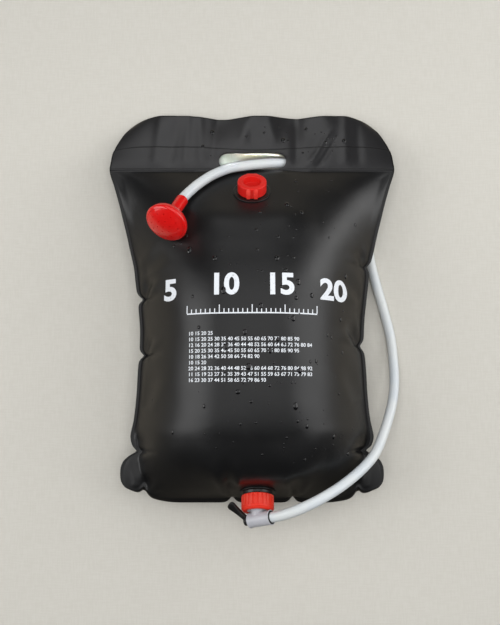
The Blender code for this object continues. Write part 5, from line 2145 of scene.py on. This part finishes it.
@dataclass
class ShowerHose:
    """The milky hose from the tap to the head."""

    finishes: FinishBox
    radius: float = 0.007
    length: float = 0.9014
    step: float = 0.006
    barrel_right: float = 0.0214
    proud: float = 0.0006
    gap: float = 0.0003
    insert: float = 0.01
    route: tuple[Triple, ...] = (
        (0.041, -0.2388, 0.1199), (0.0575, -0.2327, 0.1254), (0.0735, -0.2255, 0.127),
        (0.0899, -0.2176, 0.1248), (0.1179, -0.2022, 0.1133), (0.1468, -0.1815, 0.0977),
        (0.1674, -0.1613, 0.079), (0.1837, -0.1317, 0.057), (0.1973, -0.0978, 0.0365),
        (0.2031, -0.0722, 0.025), (0.2048, -0.0462, 0.0165), (0.2024, -0.0018, 0.0085),
        (0.1932, 0.0394, 0.0075), (0.1834, 0.0751, 0.0075), (0.175, 0.11, 0.0075),
        (0.1695, 0.145, 0.008), (0.1635, 0.183, 0.0095), (0.148, 0.218, 0.0138),
        (0.118, 0.2435, 0.0193), (0.084, 0.2552, 0.0247), (0.063, 0.2558, 0.0292),
        (0.045, 0.2535, 0.0358), (0.027, 0.2505, 0.0475), (0.0081, 0.2464, 0.0563),
        (-0.0107, 0.243, 0.0605), (-0.0284, 0.239, 0.065), (-0.0431, 0.2326, 0.0704),
        (-0.0568, 0.2242, 0.0777), (-0.0684, 0.2144, 0.086), (-0.0786, 0.2045, 0.0937),
    )

    def smooth(self, points: Sequence[Vector]) -> list[Vector]:
        """Runs a smooth curve through the route.

        Args:
            points: the route's points.

        Returns:
            Points about a step apart along the curve.
        """
        knots = [0.0]
        for before, after in zip(points, points[1:]):
            knots.append(knots[-1] + (after - before).length)
        out = [points[0]]
        for k in range(len(points) - 1):
            ends = [min(max(n, 0), len(points) - 1) for n in range(k - 1, k + 3)]
            p0, p1, p2, p3 = (points[n] for n in ends)
            k0, k1, k2, k3 = (knots[n] for n in ends)
            span = k2 - k1
            leave, arrive = (p2 - p0) / (k2 - k0) * span, (p3 - p1) / (k3 - k1) * span
            count = max(round(span / self.step), 1)
            out += [blended(p1, p2, leave, arrive, n / count) for n in range(1, count + 1)]
        return out

    def build(self, head: ShowerHead, at_end: Sequence[Piece]) -> None:
        """Args:
            head: the shower head, whose socket takes the hose's end.
            at_end: the pieces on the hose's end; not used.
        """
        outlet = joint_frame("nut_turn", (1, 0, 0))
        barrel = joint_frame("lever_turn", outlet.to_3x3().col[2])
        base = self.barrel_right + self.proud + self.gap
        start = barrel @ Vector((0, 0, base))
        lead = barrel @ Vector((0, 0, base + self.radius))
        place = head.place()
        entry = place @ Vector((0, 0, head.mouth - self.radius))
        end = place @ Vector((0, 0, head.mouth + self.insert))
        points = self.smooth([start, lead, *map(Vector, self.route), entry, end])
        curve = bpy.data.curves.new("milky_hose", "CURVE")
        curve.dimensions = "3D"
        curve.bevel_depth = self.radius
        curve.bevel_resolution = 6
        curve.use_fill_caps = True
        spline = curve.splines.new("POLY")
        spline.points.add(len(points) - 1)
        for knot, point in zip(spline.points, points):
            knot.co = (*point, 1)
        spline.use_smooth = True
        hose = linked("milky_hose", curve)
        dress(hose, self.finishes.hose, Body.BAG, Slot.HOSE, "hose")


@dataclass
class Studio:
    """The cloth, the lights and the camera."""

    finishes: FinishBox
    tilt_deg: float = 6.0
    camera_at: Triple = (-0.0028, -0.097, 1.2932)
    view_deg: float = 38.93
    beam_height: float = 0.12
    beam_spread_deg: float = 2.0
    aim_height: float = 0.06

    def build(self) -> None:
        """Builds the stage."""
        corners = [(-3, -3, 0), (3, -3, 0), (3, 3, 0), (-3, 3, 0)]
        floor = mesh_object("cloth", corners, [(0, 1, 2, 3)])
        floor.data.materials.append(self.finishes.linen)
        self.lamp("left_panel_light", (-1.6, 0.0, 1.16), (1.4, 1.52), 18.6)
        self.lamp("right_panel_light", (1.55, 0.3, 1.02), (1.7, 1.8), 21.0)
        self.lamp("low_right_light", (1.42, 1.02, 0.42), (0.6, 0.6), 3.0)
        self.lamp("flap_light", (-0.12, 1.42, 0.79), (0.8, 0.6), 1.5)
        self.lamp("overhead_light", (0.0, 0.35, 1.75), (1.5, 2.0), 10.0)
        self.lamp("even_fill", (0.0, -0.28, 2.1), (1.3, 1.3), 20.0, mirrored=False)
        self.beam("slot_beam", (0.0008, 0.2645, 0.045), (0.078, 0.003), 0.0029)
        self.beam("slot_end_beam", (-0.035, 0.2545, 0.048), (0.018, 0.012), 0.0025)
        self.sky()
        self.camera()
        bpy.context.scene.view_settings.view_transform = "Standard"

    def lamp(
        self, name: str, place: Triple, size: Pair, power: float, mirrored: bool = True
    ) -> None:
        """Adds an area light that looks at the bag.

        Args:
            name: the light's name.
            place: where it hangs.
            size: its width and height.
            power: its watts.
            mirrored: whether glossy surfaces show it.
        """
        light = bpy.data.lights.new(name, "AREA")
        light.shape = "RECTANGLE"
        light.size, light.size_y = size
        light.energy = power
        made = linked(name, light)
        made.visible_glossy = mirrored
        made.location = place
        sight = Vector((-place[0], -place[1], self.aim_height - place[2]))
        made.rotation_euler = sight.to_track_quat("-Z", "Y").to_euler()

    def beam(self, name: str, aim: Triple, size: Pair, power: float) -> None:
        """Adds a narrow beam through an opening, along the camera's line of sight.

        Args:
            name: the light's name.
            aim: the middle of the opening.
            size: the beam's width and height.
            power: its watts.
        """
        self.lamp(name, aim, size, power, mirrored=False)
        made = bpy.data.objects[name]
        made.data.spread = math.radians(self.beam_spread_deg)
        made.visible_camera = False
        sight = (Vector(self.camera_at) - Vector(aim)).normalized()
        made.location = Vector(aim) + sight * self.beam_height
        made.rotation_euler = (-sight).to_track_quat("-Z", "Y").to_euler()

    def sky(self) -> None:
        """Lights the scene evenly from all round."""
        world = bpy.data.worlds.new("studio")
        world.use_nodes = True
        ground = world.node_tree.nodes["Background"]
        ground.inputs["Color"].default_value = (0.94, 0.96, 1.0, 1.0)
        ground.inputs["Strength"].default_value = 0.06
        bpy.context.scene.world = world

    def camera(self) -> None:
        """Hangs the camera over the bag."""
        lens = bpy.data.cameras.new("camera")
        lens.sensor_fit = "VERTICAL"
        lens.angle = math.radians(self.view_deg)
        made = linked("camera", lens)
        made.location = self.camera_at
        made.rotation_euler = (math.radians(self.tilt_deg), 0.0, 0.0)
        bpy.context.scene.camera = made


def main() -> None:
    """Builds the dressed shower bag and its stage."""
    logging.basicConfig(level=logging.INFO)
    finishes = FinishBox()
    Studio(finishes).build()
    head = ShowerHead(finishes)
    at_end = head.build()
    ShowerHose(finishes).build(head, at_end)
    WaterBag(finishes).build()
    FillOpening(finishes).build()
    OutletUnion(finishes).build()
    LeverTap(finishes).build()


if __name__ == "__main__":
    main()
